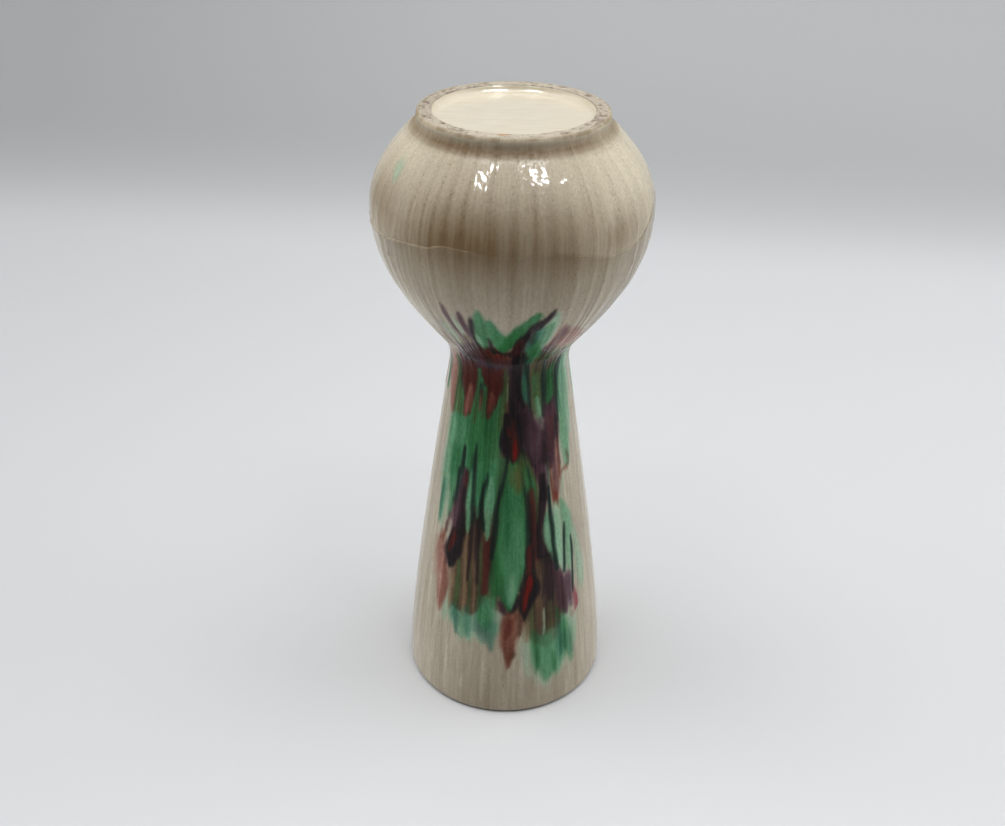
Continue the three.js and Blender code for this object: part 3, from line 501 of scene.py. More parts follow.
    ("lilac", 0.85, 0.9, (44.6, 52.6, 1.4), (44.4, 49.6, 3.2), (44.4, 45.6, 3.2), (44.8, 41.6, 2.6),
        (45.6, 38.4, 1.4)),
    ("plum", 0.35, 1.0, (44.2, 51, 2), (44.4, 45, 2.6), (45, 41, 1.6)),
    ("magenta", 0.92, 0.9, (48.2, 46, 0.3), (48.8, 43, 1.2), (49.8, 40, 1.8), (50.2, 37, 1.8),
        (49.8, 34.8, 0)),
    ("pink", 0.4, 1.4, (46, 36.6, 1.6), (46.6, 34.4, 1)),
    ("umber", 0.45, 1.4, (22, 46, 5), (23, 40, 8), (25, 35, 8), (25, 31, 5)),
    ("tan", 0.3, 0.8, (20, 48, 0.6), (20.4, 44, 1.2), (20.4, 41, 0.6)),
    ("tan", 0.4, 0.7, (25.6, 49, 0.3), (25.6, 47, 0.8), (25.4, 45, 0.3)),
    ("moss", 0.65, 1.0, (17, 44, 0.8), (16.4, 39, 1.6), (16.8, 34, 1.8), (17.6, 29, 1.2)),
    ("moss", 0.6, 1.0, (29, 44, 1.6), (29, 38, 2.6), (28.6, 33, 2.4), (28, 29, 1)),
    ("umber", 0.5, 1.2, (29, 42, 2.2), (29, 36, 2.6), (28.6, 31, 1.6)),
    ("ink", 1.0, 0.6, (32, 86, 1), (32, 81, 1.6), (32, 76, 1.5), (32.6, 71, 1.4), (33.4, 66, 1.4),
        (34.2, 61.6, 1.3), (35, 58, 1.4), (36, 55.4, 1.2)),
    ("ink", 0.95, 0.55, (43.6, 70.4, 0.4), (43.4, 67.6, 1.1), (42.6, 64, 1.1), (42.2, 60, 1.2),
        (42, 56, 1.1), (41.4, 53, 0.8)),
    ("ink", 0.9, 0.6, (49.6, 64.4, 0.3), (50, 61.6, 1.2), (49.8, 58, 1.2), (49.2, 54, 1), (48.8, 50, 0.9),
        (48.2, 46, 0.8), (48, 43, 0.4)),
    # right bead, and the dark fork at the leaf's tip
    ("black", 1.0, 0.7, (16, 64, 2), (15.6, 58, 2.6), (15.6, 54.6, 3.6), (16, 51.6, 5.4),
        (15.6, 49.4, 6.4), (14.4, 47, 6.2), (12.4, 44.6, 5), (11.6, 42.4, 3.2), (11.4, 40.6, 1.6),
        (11.2, 39, 0)),
    ("black", 0.9, 0.7, (8.6, 48, 1), (7, 45.6, 1.5), (5.2, 43.4, 1.6), (3, 41.2, 1.4)),
    ("oxblood", 0.95, 0.7, (15.8, 66, 1.4), (15.4, 60, 1.8), (15, 56.6, 2)),
    ("ruby", 1.0, 0.7, (15.4, 55.6, 1), (15.2, 53, 2.6), (14.4, 51, 2.8), (13, 48.6, 2.2), (12.2, 46, 1.9),
        (11.6, 43.6, 1.4), (11.2, 42, 0.3)),
    ("plum", 0.95, 0.7, (-4, 46.6, 0.4), (-2.6, 44.6, 1.2), (-1.4, 42.6, 1.2), (0, 40.8, 1.2)),
    # green and teal fringe at the lower left
    ("green", 0.85, 1.2, (-14, 48, 2.4), (-13, 44.6, 4.8), (-13, 41, 5.4), (-13.4, 38, 4.6), (-14, 35, 2)),
    ("mint", 0.5, 1.2, (-7.6, 48, 1.2), (-7.4, 44, 2), (-7.2, 40, 2)),
    ("mint", 0.6, 1.2, (-28, 41, 1.6), (-27.6, 37, 2), (-27.4, 33, 1.6), (-27, 30, 0.6)),
    ("mint", 0.5, 1.0, (-5, 38, 1.4), (-5.4, 34, 1)),
    ("teal", 0.25, 1.6, (-16, 38, 4), (-15, 34, 4.4), (-14, 31, 2.6)),
    ("lilac", 0.3, 1.6, (-16, 37, 2.4), (-15, 33, 3)),
    ("sage", 0.45, 1.6, (-41, 39, 1.6), (-41.4, 36, 2), (-41, 33.6, 1)),
    ("teal", 0.65, 1.7, (-33.6, 41, 1.6), (-33.4, 38, 2.6), (-33.2, 35.4, 2), (-32, 33, 0.8),
        (-30.6, 31, 0.3)),
    ("teal", 0.6, 1.6, (-24.2, 42, 1), (-24, 38, 1.5), (-23.8, 34, 1.4), (-23.4, 31, 0.5)),
    ("teal", 0.65, 1.7, (-8, 38, 1.4), (-8, 34, 1.7), (-8.4, 31, 1.2), (-8.6, 28.6, 0)),
    ("sage", 0.5, 0.5, (-20.6, 39, 0.3), (-20.6, 36, 0.6), (-20.6, 32, 0.3)),
    # pink tail under the leaf
    ("sage", 0.5, 1.8, (12.6, 29, 1.6), (12, 24, 2.6), (13.6, 19, 2.4), (15, 15.6, 1)),
    ("tan", 0.6, 1.0, (13.4, 38, 0.8), (13.6, 34, 1.4), (13.4, 30, 1)),
    ("brick", 0.9, 0.9, (3.6, 42, 2.4), (4.4, 39.6, 6), (4, 36.6, 7), (3, 33, 6), (2, 29.6, 4.4),
        (2.6, 26.4, 3.1), (3, 24, 2.5), (2.6, 21.8, 1.4), (2.4, 19.4, 0)),
    ("oxblood", 0.45, 1.0, (3, 39, 2), (2, 35, 2.6), (1, 32, 1.4)),
    ("pink", 0.4, 0.9, (6, 38, 1), (5.6, 34, 1), (0.6, 30, 1.4), (1.4, 26, 1)),
    ("umber", 0.6, 0.9, (8, 40, 1), (8.6, 36, 1.8), (8.2, 32, 1.6)),
    ("umber", 0.6, 0.8, (4.6, 25, 0.4), (5, 23.4, 1.4), (4.6, 22.2, 0.3)),
    # green tail
    ("sage", 0.45, 2.0, (22, 16, 6), (23, 12, 4), (24, 9.6, 1)),
    ("sage", 0.35, 2.0, (38, 19, 3), (38, 15, 2.4)),
    ("green", 0.72, 2.4, (24, 31, 6), (25, 27, 8), (25.4, 22, 7.6), (25, 18, 5.6), (24.6, 15, 3),
        (24.6, 13, 0.6)),
    ("mint", 0.55, 2.4, (32, 33, 8), (32, 27, 11), (30, 21, 10), (27, 17, 5)),
    ("mint", 0.7, 1.1, (22.6, 27, 1.6), (22.6, 23, 2), (22.4, 19, 1.8)),
    ("mint", 0.6, 1.1, (27.4, 24, 1.2), (27.4, 20, 1.6), (27, 16, 1)),
    ("forest", 0.62, 1.4, (17.4, 33, 1.6), (17.6, 29, 1.8), (18.4, 25, 1.5), (19, 21, 1.2),
        (19.4, 17.4, 0.6)),
    ("green", 0.8, 0.8, (30.6, 24, 1), (31, 20, 1.4), (30.8, 16.6, 0.8)),
    ("forest", 0.8, 0.9, (34, 41, 0.6), (34.4, 37, 1.4)),
    ("sage", 0.7, 1.3, (44.4, 34, 1), (45.6, 30, 2), (46.4, 26, 1.6), (46.8, 22.6, 0.4)),
    ("green", 0.6, 1.8, (37.4, 38, 1), (37.6, 34, 2.4), (38, 30, 3.2), (39, 26, 3.4), (40.6, 22.6, 2.8),
        (42.6, 19.6, 1.4), (43.6, 16.8, 0)),
    ("teal", 0.62, 1.5, (34.4, 36, 1.4), (34.4, 32, 1.8), (34.4, 28, 1.8), (35, 24, 1.6),
        (35.4, 21.6, 0.6)),
    ("teal", 0.45, 1.4, (37.6, 29, 1.2), (38, 25, 1.5), (38.4, 22, 0.8)),
    ("teal", 0.45, 1.3, (42, 30, 0.6), (42.8, 25, 1), (43.4, 20, 0.7)),
    ("sage", 0.85, 0.5, (24.2, 42, 0.2), (24.2, 40, 0.7), (24.2, 38, 0.8), (24, 35.6, 0.5),
        (23.8, 33, 0.5), (23.6, 31.4, 0)),
    # round the sides and the back: the brown collar and one crest above it
    ("umber", 0.75, 2.0, (126, 136, 20), (120, 131, 44), (120, 127, 50), (122, 123, 40)),
    ("umber", 0.8, 2.0, (186, 138, 14), (188, 133, 40), (190, 128, 46), (190, 124, 42)),
    ("umber", 0.65, 2.0, (250, 134, 14), (256, 129, 26), (258, 125, 22)),
    ("green", 0.85, 1.0, (163, 153, 0.4), (165, 147, 3.6), (168, 141, 3), (170, 136, 0)),
    # pale streaks and small smudges on the bare glaze
    ("pale", 0.8, 0.7, (-12.8, 30, 0.3), (-12.8, 24, 0.9), (-12.9, 14, 0.8), (-13, 7, 0.3)),
    ("pale", 0.7, 0.7, (-37, 27, 0.3), (-37, 20, 0.8), (-37.2, 12, 0.8), (-37.4, 5, 0.4)),
    ("pale", 0.55, 0.8, (-48, 34, 0.4), (-48.4, 24, 1), (-48.8, 12, 0.8)),
    ("pale", 0.55, 0.7, (-26, 26, 0.3), (-26.2, 18, 0.7), (-26.4, 8, 0.5)),
    ("pale", 0.45, 0.8, (10, 24, 0.3), (9.6, 16, 0.8), (9.4, 7, 0.6)),
    ("pale", 0.5, 0.9, (52, 38, 0.4), (52.4, 26, 1), (52.6, 12, 0.8)),
    ("sage", 0.55, 1.4, (-60, 190, 1), (-60.5, 187.6, 3), (-59, 185.6, 1)),
    ("umber", 0.7, 0.4, (-57, 166.6, 0), (-57, 166, 0.9), (-57, 165.4, 0)),
    ("umber", 0.7, 0.4, (56, 165.6, 0), (56, 165, 0.8), (56, 164.4, 0)),
]

# Shorter drips from the collar on the back: glaze, the glaze in its core, turn, lowest height, half width.
BACK_DRIPS = [
    ("sage", "mint", 82, 110, 8),
    ("mint", "teal", 99, 102, 8),
    ("oxblood", "brick", 119, 110, 9),
    ("green", "forest", 139, 94, 9),
    ("plum", "black", 163, 97, 8),
    ("oxblood", "brick", 184, 105, 10),
    ("green", "mint", 202, 103, 8),
    ("plum", "lilac", 218, 112, 7),
    ("pink", "brick", 233, 108, 9),
    ("mint", "green", 250, 105, 7),
    ("brick", "oxblood", 268, 111, 9),
    ("green", "teal", 283, 113, 6),
]
DRIP_TOP = 131
# A drip's width at shares of its length.
DRIP_SHAPE = [(0.0, 1.0), (0.25, 0.84), (0.5, 0.55), (0.75, 0.42), (0.93, 0.32), (1.0, 0.0)]


def back_drips():
    """The runs on the back, each narrowing to a rounded end, with a thinner core."""
    for glaze, core, turn, low, wide in BACK_DRIPS:
        for coat, strength, lowest, half in [(glaze, 0.9, low, wide), (core, 0.5, low + 3, 0.45 * wide)]:
            drop = DRIP_TOP - lowest
            yield coat, strength, 1.0, *[(turn + 2 * along, DRIP_TOP - drop * along, half * width)
                                         for along, width in DRIP_SHAPE]


def linear(rgb):
    """An sRGB byte colour as linear light."""
    c = np.array(rgb, float) / 255.0
    return np.where(c <= 0.04045, c / 12.92, ((c + 0.055) / 1.055) ** 2.4)


def lit(colours):
    """Colours seen at the front, as the surface's own linear colours."""
    return [linear(colour) / FRONT_LIGHT for colour in colours]


# Height of the line where the two dips of base glaze meet, at turns round the belly.
DIP_LINE = [(-160, 174.5), (-110, 173), (-75, 170), (-59, 170.4), (-50, 171.5), (-35, 172.4), (-27, 174),
            (-18, 174.1), (-7, 173), (0, 172.6), (8, 173.6), (18, 173.4), (27, 172), (38, 169.6),
            (50, 169.6), (59, 170.6), (66, 173), (73, 176.5), (90, 178), (130, 174)]


def dip_line(turn):
    """Height of the wavy line where the two dips of base glaze meet."""
    return around(turn, DIP_LINE) + 0.25 * wavy(turn, turn * 0, 60, 10, 21)


def run_cover(turn, height, fringe, softness, path):
    """How fully a poured run covers each place, from 0 to 1; fringe is the raggedness of its edge in mm."""
    path = sorted(path, key=lambda place: place[1])
    turns, heights, halves = (np.array(column, float) for column in zip(*path))
    centre = np.interp(height, heights, turns)
    half = np.sqrt(np.interp(height, heights, halves**2))
    radius = np.interp(height, OUTSIDE.points[:, 1], OUTSIDE.points[:, 0])
    across = (np.abs(wrap(turn - centre)) - half) * np.radians(1.0) * radius
    beyond = np.maximum(np.maximum(heights[0] - height, height - heights[-1]), 0.0)
    distance = np.where(beyond > 0, np.hypot(np.maximum(across, 0), beyond), across)
    return smoothstep(0.5 - (distance + fringe) / (2 * softness))


# How far the bare glaze turns brown, by height: where it thins, with painted shade at the front and in the
# crease under the foot.
BELOW_WASH_AND_SHADE = [(0, 0.34), (20, 0.28), (60, 0.24), (110, 0.22), (150, 0.18), (164, 0.44), (172, 0.80)]
SIDE_WASH = [(173, 0.24), (179, 0.16), (186, 0.05), (200, 0.03)]
FRONT_WASH_AND_SHADE = [(173, 0.92), (177, 0.85), (183, 0.66), (189, 0.38), (195, 0.28)]
# painted shade in the crease under the foot ring, over glaze that thins there
FOOT_WASH_AND_SHADE = [(193, 0.0), (194.5, 0.36), (195.2, 0.74), (196.3, 1.00), (197.3, 0.78), (198.2, 0.42),
             (200, 0.34)]
RUBBED_Z = 198.7  # above this the foot's outer edge is rubbed down to dirty clay
RUBBED_SHARE = 0.85


def facing(turn):
    """One at the front of the vase, falling to nothing at its sides."""
    return np.clip((0.5 + 0.5 * np.cos(np.radians(turn)) - 0.62) / 0.36, 0, 1) ** 1.5


def base_colour(turn, height, groove):
    """The grey-beige glaze: brown where it thins over the belly and under the foot, dark in its grooves,
    with painted shade at the front, at the right of the belly, at the left of the shoulder and in the
    crease under the foot, and a painted sheen at the lower left of the belly.
    """

    def spot(middle_turn, middle_height, wide, tall):
        return patch(turn, height, middle_turn, middle_height, wide, tall)

    stone, cream, ivory, brown = lit(BARE_GLAZE)
    above = smoothstep((height - dip_line(turn)) / 1.0 + 0.5)
    streak = cloudy(turn, height, 120, 34, 31)
    fine = cloudy(turn, height, 420, 16, 32)
    broad = cloudy(turn, height, 26, 30, 33)
    light = np.clip(0.42 * streak + 0.26 * fine + 0.38 * broad - 0.12, 0, 1)
    # painted sheen: two pale patches at the lower left of the belly
    light += 0.40 * spot(-66, 158, 12, 14) + 0.70 * spot(-56, 147, 12, 8)
    light = (light * (1 - above) + (0.36 + 0.50 * light) * above)[:, None]
    dark = stone + (cream - stone) * 0.6 * above[:, None]
    bright = cream + (ivory - cream) * above[:, None]
    colour = dark + (bright - dark) * light

    # below the dip line the brown is strongest at the front, as painted shade there
    below_wash_and_shade = carried(height, BELOW_WASH_AND_SHADE) * (0.15 + 0.85 * facing(turn))
    # painted shade: two darker patches at the right of the belly
    below_wash_and_shade += 0.22 * spot(72, 158, 12, 14) + 0.45 * spot(63, 148, 10, 8)
    # the painted shade is centred a little left of the front, away from the light on the right
    middle = facing(turn + 9)
    # painted shade at the left of the shoulder, and a darker patch at its right
    side_wash_and_shade = carried(height, SIDE_WASH) + 0.52 * spot(-60, 180, 22, 10) + 0.40 * spot(45, 175, 14, 8)
    # the brown above the dip line deepens at the front as painted shade
    front_wash_and_shade = carried(height, FRONT_WASH_AND_SHADE) * middle
    # painted shade in the crease under the foot ring, over glaze that thins there, deepest at the front
    foot_wash_and_shade = carried(height, FOOT_WASH_AND_SHADE) * (0.65 + 0.35 * middle)
    above_wash_and_shade = np.maximum(np.maximum(side_wash_and_shade, front_wash_and_shade), foot_wash_and_shade)
    wash_and_shade = below_wash_and_shade * (1 - above) + above_wash_and_shade * above
    wash_and_shade *= 0.80 + 0.20 * broad + 0.14 * (1 - streak) + 0.14 * (1 - fine)
    wash_and_shade += groove * (0.10 - 0.02 * above)
    wash_and_shade = np.clip(wash_and_shade, 0, 0.97)[:, None]
    colour = colour * (1 - wash_and_shade) + brown * wash_and_shade

    soil = 0.5 + 0.6 * wavy(turn, height, 70, 3, 35) + 0.4 * wavy(turn, height, 160, 2, 36)
    soil = smoothstep(soil)[:, None]
    rubbed = smoothstep((height - RUBBED_Z + 0.4 * wavy(turn, height, 40, 9, 34)) / 0.5)[:, None]
    clay, dirt = lit(RUBBED_CLAY)
    return colour * (1 - RUBBED_SHARE * rubbed) + (clay * (1 - soil) + dirt * soil) * RUBBED_SHARE * rubbed


def paint(turn, height, groove):
    """Colour and thickness of the glaze at each place."""
    wrapped = wrap(turn)
    colour = base_colour(turn, height, groove)
    thickness = np.zeros_like(turn)
    # Runs waver a little as they flow, and end in ragged vertical streaks that lengthen towards the mouth.
    sway = 0.5 * wavy(turn, height, 60, 9, 41) + 0.3 * wavy(turn, height, 140, 5, 42)
    ragged = 0.5 + 1.3 * smoothstep((44 - height) / 18)
    slip = 0.7 * wavy(turn, height, 90, 9, 43)
    slip += ragged * (1.2 * wavy(turn, height, 84, 60, 48) + 0.7 * wavy(turn, height, 200, 60, 44))
    fringe = 0.30 * wavy(turn, height, 220, 8, 47)
    fibre = cloudy(turn, height, 300, 22, 45)
    broad = cloudy(turn, height, 70, 12, 46)
    for glaze, strength, softness, *path in [*RUNS, *back_drips()]:
        lows, highs = np.min(path, axis=0), np.max(path, axis=0)
        middle, reach = (lows[0] + highs[0]) / 2, (highs[0] - lows[0]) / 2 + highs[2] + 12
        near = np.abs(wrap(wrapped - middle)) < reach
        near &= (height > lows[1] - 5) & (height < highs[1] + 5)
        swayed, slipped = wrapped[near] + sway[near], height[near] + slip[near]
        cover = run_cover(swayed, slipped, fringe[near], softness * 1.1, path)
        deep = 0.15 + 0.7 * broad[near] + 0.5 * (fibre[near] - 0.5) + 0.3 * groove[near]
        deep = np.clip(deep, 0, 1)[:, None]
        thin, thick = lit(PIGMENTS[glaze])
        edge = (4 * cover * (1 - cover))[:, None]
        pigment = (thin * (1 - deep) + thick * deep) * (1 - 0.12 * edge)
        alpha = (cover * strength * (0.9 + 0.1 * fibre[near]))[:, None]
        # Coloured glaze takes light away, so layers multiply rather than average.
        colour[near] = colour[near] ** (1 - alpha) * pigment**alpha
        thickness[near] = np.maximum(thickness[near] * (1 - 0.25 * cover), cover * strength)
    return colour, thickness


# ---- Meshes ----
def link(name, data):
    """A new object in the scene."""
    obj = bpy.data.objects.new(name, data)
    bpy.context.scene.collection.objects.link(obj)
    return obj


def skin(name, turn, outer, inner, colours=None, layers=None):
    """A closed shell of revolution. outer and inner are (radius, height) grids, one row per step along the
    profile and one column per turn; the two are joined at both ends."""
    rows = np.concatenate([outer, inner[::-1]])
    count, columns = rows.shape[:2]
    angle = np.radians(turn)
    place = np.empty((count, columns, 3))
    place[..., 0] = rows[..., 0] * np.sin(angle)
    place[..., 1] = -rows[..., 0] * np.cos(angle)
    place[..., 2] = rows[..., 1]
    here = np.arange(count)[:, None]
    along = (here + 1) % count
    j = np.arange(columns)[None, :]
    side = (j + 1) % columns
    corners = [here * columns + j, here * columns + side, along * columns + side, along * columns + j]
    quads = np.stack(np.broadcast_arrays(*corners), axis=-1).reshape(-1, 4)
    mesh = bpy.data.meshes.new(name)
    mesh.vertices.add(count * columns)
    mesh.vertices.foreach_set("co", (place * MM).astype(np.float32).ravel())
    mesh.loops.add(quads.size)
    mesh.loops.foreach_set("vertex_index", quads.astype(np.int32).ravel())
    mesh.polygons.add(len(quads))
    mesh.polygons.foreach_set("loop_start", np.arange(0, quads.size, 4, dtype=np.int32))
    mesh.update(calc_edges=True)
    mesh.polygons.foreach_set("use_smooth", np.ones(len(quads), bool))
    blank = len(inner) * columns
    if colours is not None:
        filled = np.concatenate([colours.reshape(-1, 3), np.tile(linear(HIDDEN_GLAZE), (blank, 1))])
        filled = np.hstack([filled, np.ones((len(filled), 1))]).astype(np.float32)
        mesh.color_attributes.new("tint", "FLOAT_COLOR", "POINT").data.foreach_set("color", filled.ravel())
    for layer, values in (layers or {}).items():
        filled = np.concatenate([values.ravel(), np.zeros(blank)]).astype(np.float32)
        mesh.attributes.new(layer, "FLOAT", "POINT").data.foreach_set("value", filled)
    return link(name, mesh)


def spaced(stretches):
    """Shares from 0 to 1, as a column; each stretch is (start, end, step)."""
    parts = [np.linspace(start, end, round((end - start) / step), endpoint=False)
             for start, end, step in stretches]
    return np.concatenate([*parts, [1.0]])[:, None]


# The front carries the finest runs, so its columns are closer together.
FRONT_REACH = 76.0
TURN = np.concatenate([np.linspace(-FRONT_REACH, FRONT_REACH, 264, endpoint=False),
                       np.linspace(FRONT_REACH, 360 - FRONT_REACH, 144, endpoint=False)])


def glazed(name, s, lift, tuck):
    """A glazed skin over the grid of distances s[row, column], with its paint and relief. lift raises its
    face, and tuck sinks its hidden back."""
    turn = np.broadcast_to(TURN, s.shape)
    radius, height = OUTSIDE.at(s)
    out_r, out_z = OUTSIDE.outward(s)
    relief, groove = ribs(turn.ravel(), height.ravel())
    colour, thickness = paint(turn.ravel(), height.ravel(), groove)
    relief = relief * (1 - 0.35 * thickness) + COLOUR_RELIEF * thickness
    relief = relief.reshape(s.shape) + lift
    outer = np.stack([radius + out_r * relief, height + out_z * relief], axis=-1)
    # The back has few rows, closer together where the profile bends, so that it stays behind the face.
    lean = np.unwrap(np.arctan2(out_z[:, 0], out_r[:, 0]))
    bend = np.concatenate([[0.0], np.cumsum(np.abs(np.diff(lean)) + 0.012 * np.diff(s[:, 0]))])
    inner_rows = np.searchsorted(bend, np.linspace(0, bend[-1], BACK_ROWS)).clip(0, len(s) - 1)
    depth = -(GLAZE + tuck)
    inner = np.stack([radius + out_r * depth, height + out_z * depth], axis=-1)[inner_rows]
    layers = {"groove": groove.reshape(s.shape), "cover": thickness.reshape(s.shape)}
    return skin(name, TURN, outer, inner, colour.reshape(*s.shape, 3), layers)


# How high the first dip's lip stands on the second, at turns round the belly.
LIP_HEIGHT = [(-150, 0.16), (-70, 0.28), (-58, 0.44), (-34, 0.42), (-23, 0.12), (-10, 0.02), (14, 0.02),
              (28, 0.10), (50, 0.14), (75, 0.14), (120, 0.18)]
LIP_ROUND = 0.9
DIP_OVERLAP = 1.2  # the second dip starts this far under the first


def neck_skin():
    """The first dip, from the mouth up to the dip line, where it ends in a rounded lip."""
    start = OUTSIDE.s_at(BARE_RIM)
    line = OUTSIDE.s_at(dip_line(TURN))
    share = spaced([(0.0, 0.10, 0.0062), (0.10, 0.64, 0.0049), (0.64, 0.72, 0.0037), (0.72, 0.975, 0.0060),
                    (0.975, 1.0, 0.0017)])
    s = start + share * (line - start)
    edge = line - s
    stand = around(TURN, LIP_HEIGHT) * (1 + 0.6 * wavy(TURN, TURN * 0, 80, 10, 22))
    round_off = np.sqrt(np.clip(1 - (1 - np.clip(edge / LIP_ROUND, 0, 1)) ** 2, 0, 1))
    lip = (0.04 + stand) * round_off * np.exp(-np.clip(edge - 0.6, 0, None) / 1.1)
    lip -= 0.06 * np.exp(-edge / LIP_ROUND)
    rim = -0.35 * np.exp(-((s - start) / 0.5) ** 2)
    return glazed("neck_glaze", s, lip + rim, 0.0)


def bulb_skin():
    """The second dip, from just under the first up to the foot, where it rolls over and thins out."""
    line = OUTSIDE.s_at(dip_line(TURN))
    end = OUTSIDE.length
    share = spaced([(0.0, 0.12, 0.012), (0.12, 0.8, 0.0105), (0.8, 0.92, 0.009), (0.92, 1.0, 0.005)])
    s = (line - DIP_OVERLAP) + share * (end - (line - DIP_OVERLAP))
    under = -0.16 * smoothstep(1 - (s - line + DIP_OVERLAP) / 1.5)
    tip = -0.35 * smoothstep(1 - (end - s) / 0.8)
    rolled = 0.40 * np.exp(-(((end - s) - 1.7) / 0.9) ** 2)
    return glazed("bulb_glaze", s, under + tip + rolled, -0.05)


# Chips and rubs on the foot: (turn, radius, size, depth) in degrees and mm.
CHIPS = [(-133, 26.2, 2.2, 0.4), (-127, 25.4, 1.4, 0.3), (-160, 25.6, 1.8, 0.3), (66, 24.6, 2.4, 0.3),
         (76, 25.6, 1.5, 0.25), (54, 24.4, 1.4, 0.22), (15, 26.0, 1.2, 0.15), (-70, 25.8, 1.6, 0.2),
         (120, 25.0, 1.8, 0.2), (-8, 24.0, 1.3, 0.10), (32, 25.6, 1.8, 0.18), (-34, 25.0, 1.4, 0.15),
         (-100, 25.4, 1.6, 0.2), (146, 25.6, 1.5, 0.2), (-52, 24.2, 1.3, 0.15), (98, 24.4, 1.2, 0.2)]
# Where iron in the clay has burnt orange.
IRON_TURN, IRON_RADIUS, IRON_SIZE = -7, 23.8, 1.5
# Rubbed clay is pale, and the chips and the pores between show brown.
RING_CLAY, RING_DIRT, RING_IRON = (188, 176, 154), (104, 82, 58), (186, 128, 66)


def revolved(section, columns):
    """A (radius, height) section repeated round the vase, with the turn of each column."""
    turn = np.arange(columns) * 360.0 / columns
    return turn, np.repeat(np.array(section)[:, None, :], columns, axis=1)


def ring_section():
    """The foot ring's outside, its contact face and its inside, then down to its seat in the bulb."""
    seat = HEIGHT - RECESS_DEPTH - CLAY_DEPTH - 0.9
    wall_r = RECESS_RADIUS + CLAY_DEPTH
    inner_r = RECESS_RADIUS + 0.1
    outer_r = FOOT_RADIUS - CLAY_DEPTH
    face_r = FOOT_RADIUS - 0.15
    flat = [(r, HEIGHT - 0.04) for r in np.linspace(face_r - 0.6, inner_r + 0.3, 13)]
    return [
        (outer_r + 0.9, seat),
        (outer_r + 0.2, HEIGHT - 2.2),
        (outer_r, HEIGHT - 1.2),
        (face_r, HEIGHT - 0.55),
        (face_r - 0.05, HEIGHT - 0.28),
        (face_r - 0.3, HEIGHT - 0.10),
        *flat,
        (inner_r + 0.12, HEIGHT - 0.10),
        (inner_r, HEIGHT - 0.26),
        (inner_r + 0.04, HEIGHT - 0.5),
        (wall_r, HEIGHT - 0.8),
        (wall_r - 0.1, HEIGHT - 1.2),
        (wall_r - 1.0, HEIGHT - 2.3),
        (wall_r - 2.3, HEIGHT - 2.9),
        (wall_r - 2.6, seat),
    ]


def foot_ring():
    """The clay ring with its worn, chipped contact face."""
    turn, rows = revolved(ring_section(), 360)
    radius = rows[..., 0]
    grid_turn = np.broadcast_to(turn, radius.shape)
    pores = wavy(grid_turn, radius * 9, 150, 5, 51)
    dips = wavy(grid_turn, radius * 9, 26, 12, 52)
    stains = wavy(grid_turn, radius * 9, 72, 7, 53)
    worn = 0.05 * pores + 0.05 * dips - 0.08
    chipped = np.zeros(worn.shape)
    for chip_turn, chip_radius, width, deep in CHIPS:
        arc = np.radians(wrap(grid_turn - chip_turn)) * radius
        hollow = smoothstep(1 - np.hypot(arc / 1.3, radius - chip_radius) / width + 0.25 * pores)
        chipped = np.maximum(chipped, hollow)
        worn -= deep * hollow
    on_face = rows[..., 1] > HEIGHT - 0.3
    rows[..., 1] += np.where(on_face, worn, 0)

    pale, brown, orange = (linear(c) for c in (RING_CLAY, RING_DIRT, RING_IRON))
    dirt = smoothstep(0.9 * stains + 0.5 * pores + 0.1)
    soiled = 0.30 * patch(grid_turn, 0, -105, 0, 48, 1) + 0.18 * patch(grid_turn, 0, 100, 0, 50, 1)
    share = np.clip(0.55 * dirt + 0.75 * chipped + soiled, 0, 0.95)[..., None]
    colour = pale * (1 - share) + brown * share
    arc = np.radians(wrap(grid_turn - IRON_TURN)) * radius
    iron = 0.85 * smoothstep(1 - np.hypot(arc / 1.8, radius - IRON_RADIUS) / IRON_SIZE)[..., None]
    colour = colour * (1 - iron) + orange * iron
    middle = rows[:1] * 0.5 + rows[-1:] * 0.5
    return skin("foot_ring_clay", turn, rows, middle, colour)


def close_poles(obj):
    """Weld the points that meet on the axis."""
    mesh = bmesh.new()
    mesh.from_mesh(obj.data)
    bmesh.ops.remove_doubles(mesh, verts=mesh.verts[:], dist=1e-7)
    mesh.to_mesh(obj.data)
    mesh.free()


def recess():
    """The glazed dish inside the foot ring, with a gently uneven floor."""
    floor_z = HEIGHT - RECESS_DEPTH
    fillet_r = RECESS_RADIUS - RECESS_FILLET
    rim = [(RECESS_RADIUS + 0.08, HEIGHT - 0.5), (RECESS_RADIUS, HEIGHT - 0.42)]
    wall = list(bezier([rim[-1], (RECESS_RADIUS, floor_z), (fillet_r, floor_z)], 14))
    floor = [(r, floor_z) for r in np.linspace(fillet_r, 0.0, 40)[1:]]
    under = [(RECESS_RADIUS + 0.3, HEIGHT - 1.2), (RECESS_RADIUS - 0.3, floor_z + 0.25),
             (fillet_r, floor_z - GLAZE), (0.0, floor_z - GLAZE)]
    turn, rows = revolved(rim + wall + floor, 240)
    radius = rows[..., 0]
    wave = wavy(np.broadcast_to(turn, radius.shape), radius * 2, 14, 9, 61)
    rows[..., 1] += 0.06 * wave * smoothstep(radius / 8)
    dish = skin("recess_glaze_dish", turn, rows, revolved(under, 240)[1])
    close_poles(dish)
    return dish


# ---- Materials ----
def new_material(name):
    """A material with its node tree and its shader."""
    material = bpy.data.materials.new(name)
    material.use_nodes = True
    tree = material.node_tree
    return material, tree, tree.nodes["Principled BSDF"]


def fill(tree, socket, value):
    """Link a socket to another node's output, or set it to a value."""
    if isinstance(value, bpy.types.NodeSocket):
        tree.links.new(value, socket)
    else:
        socket.default_value = value


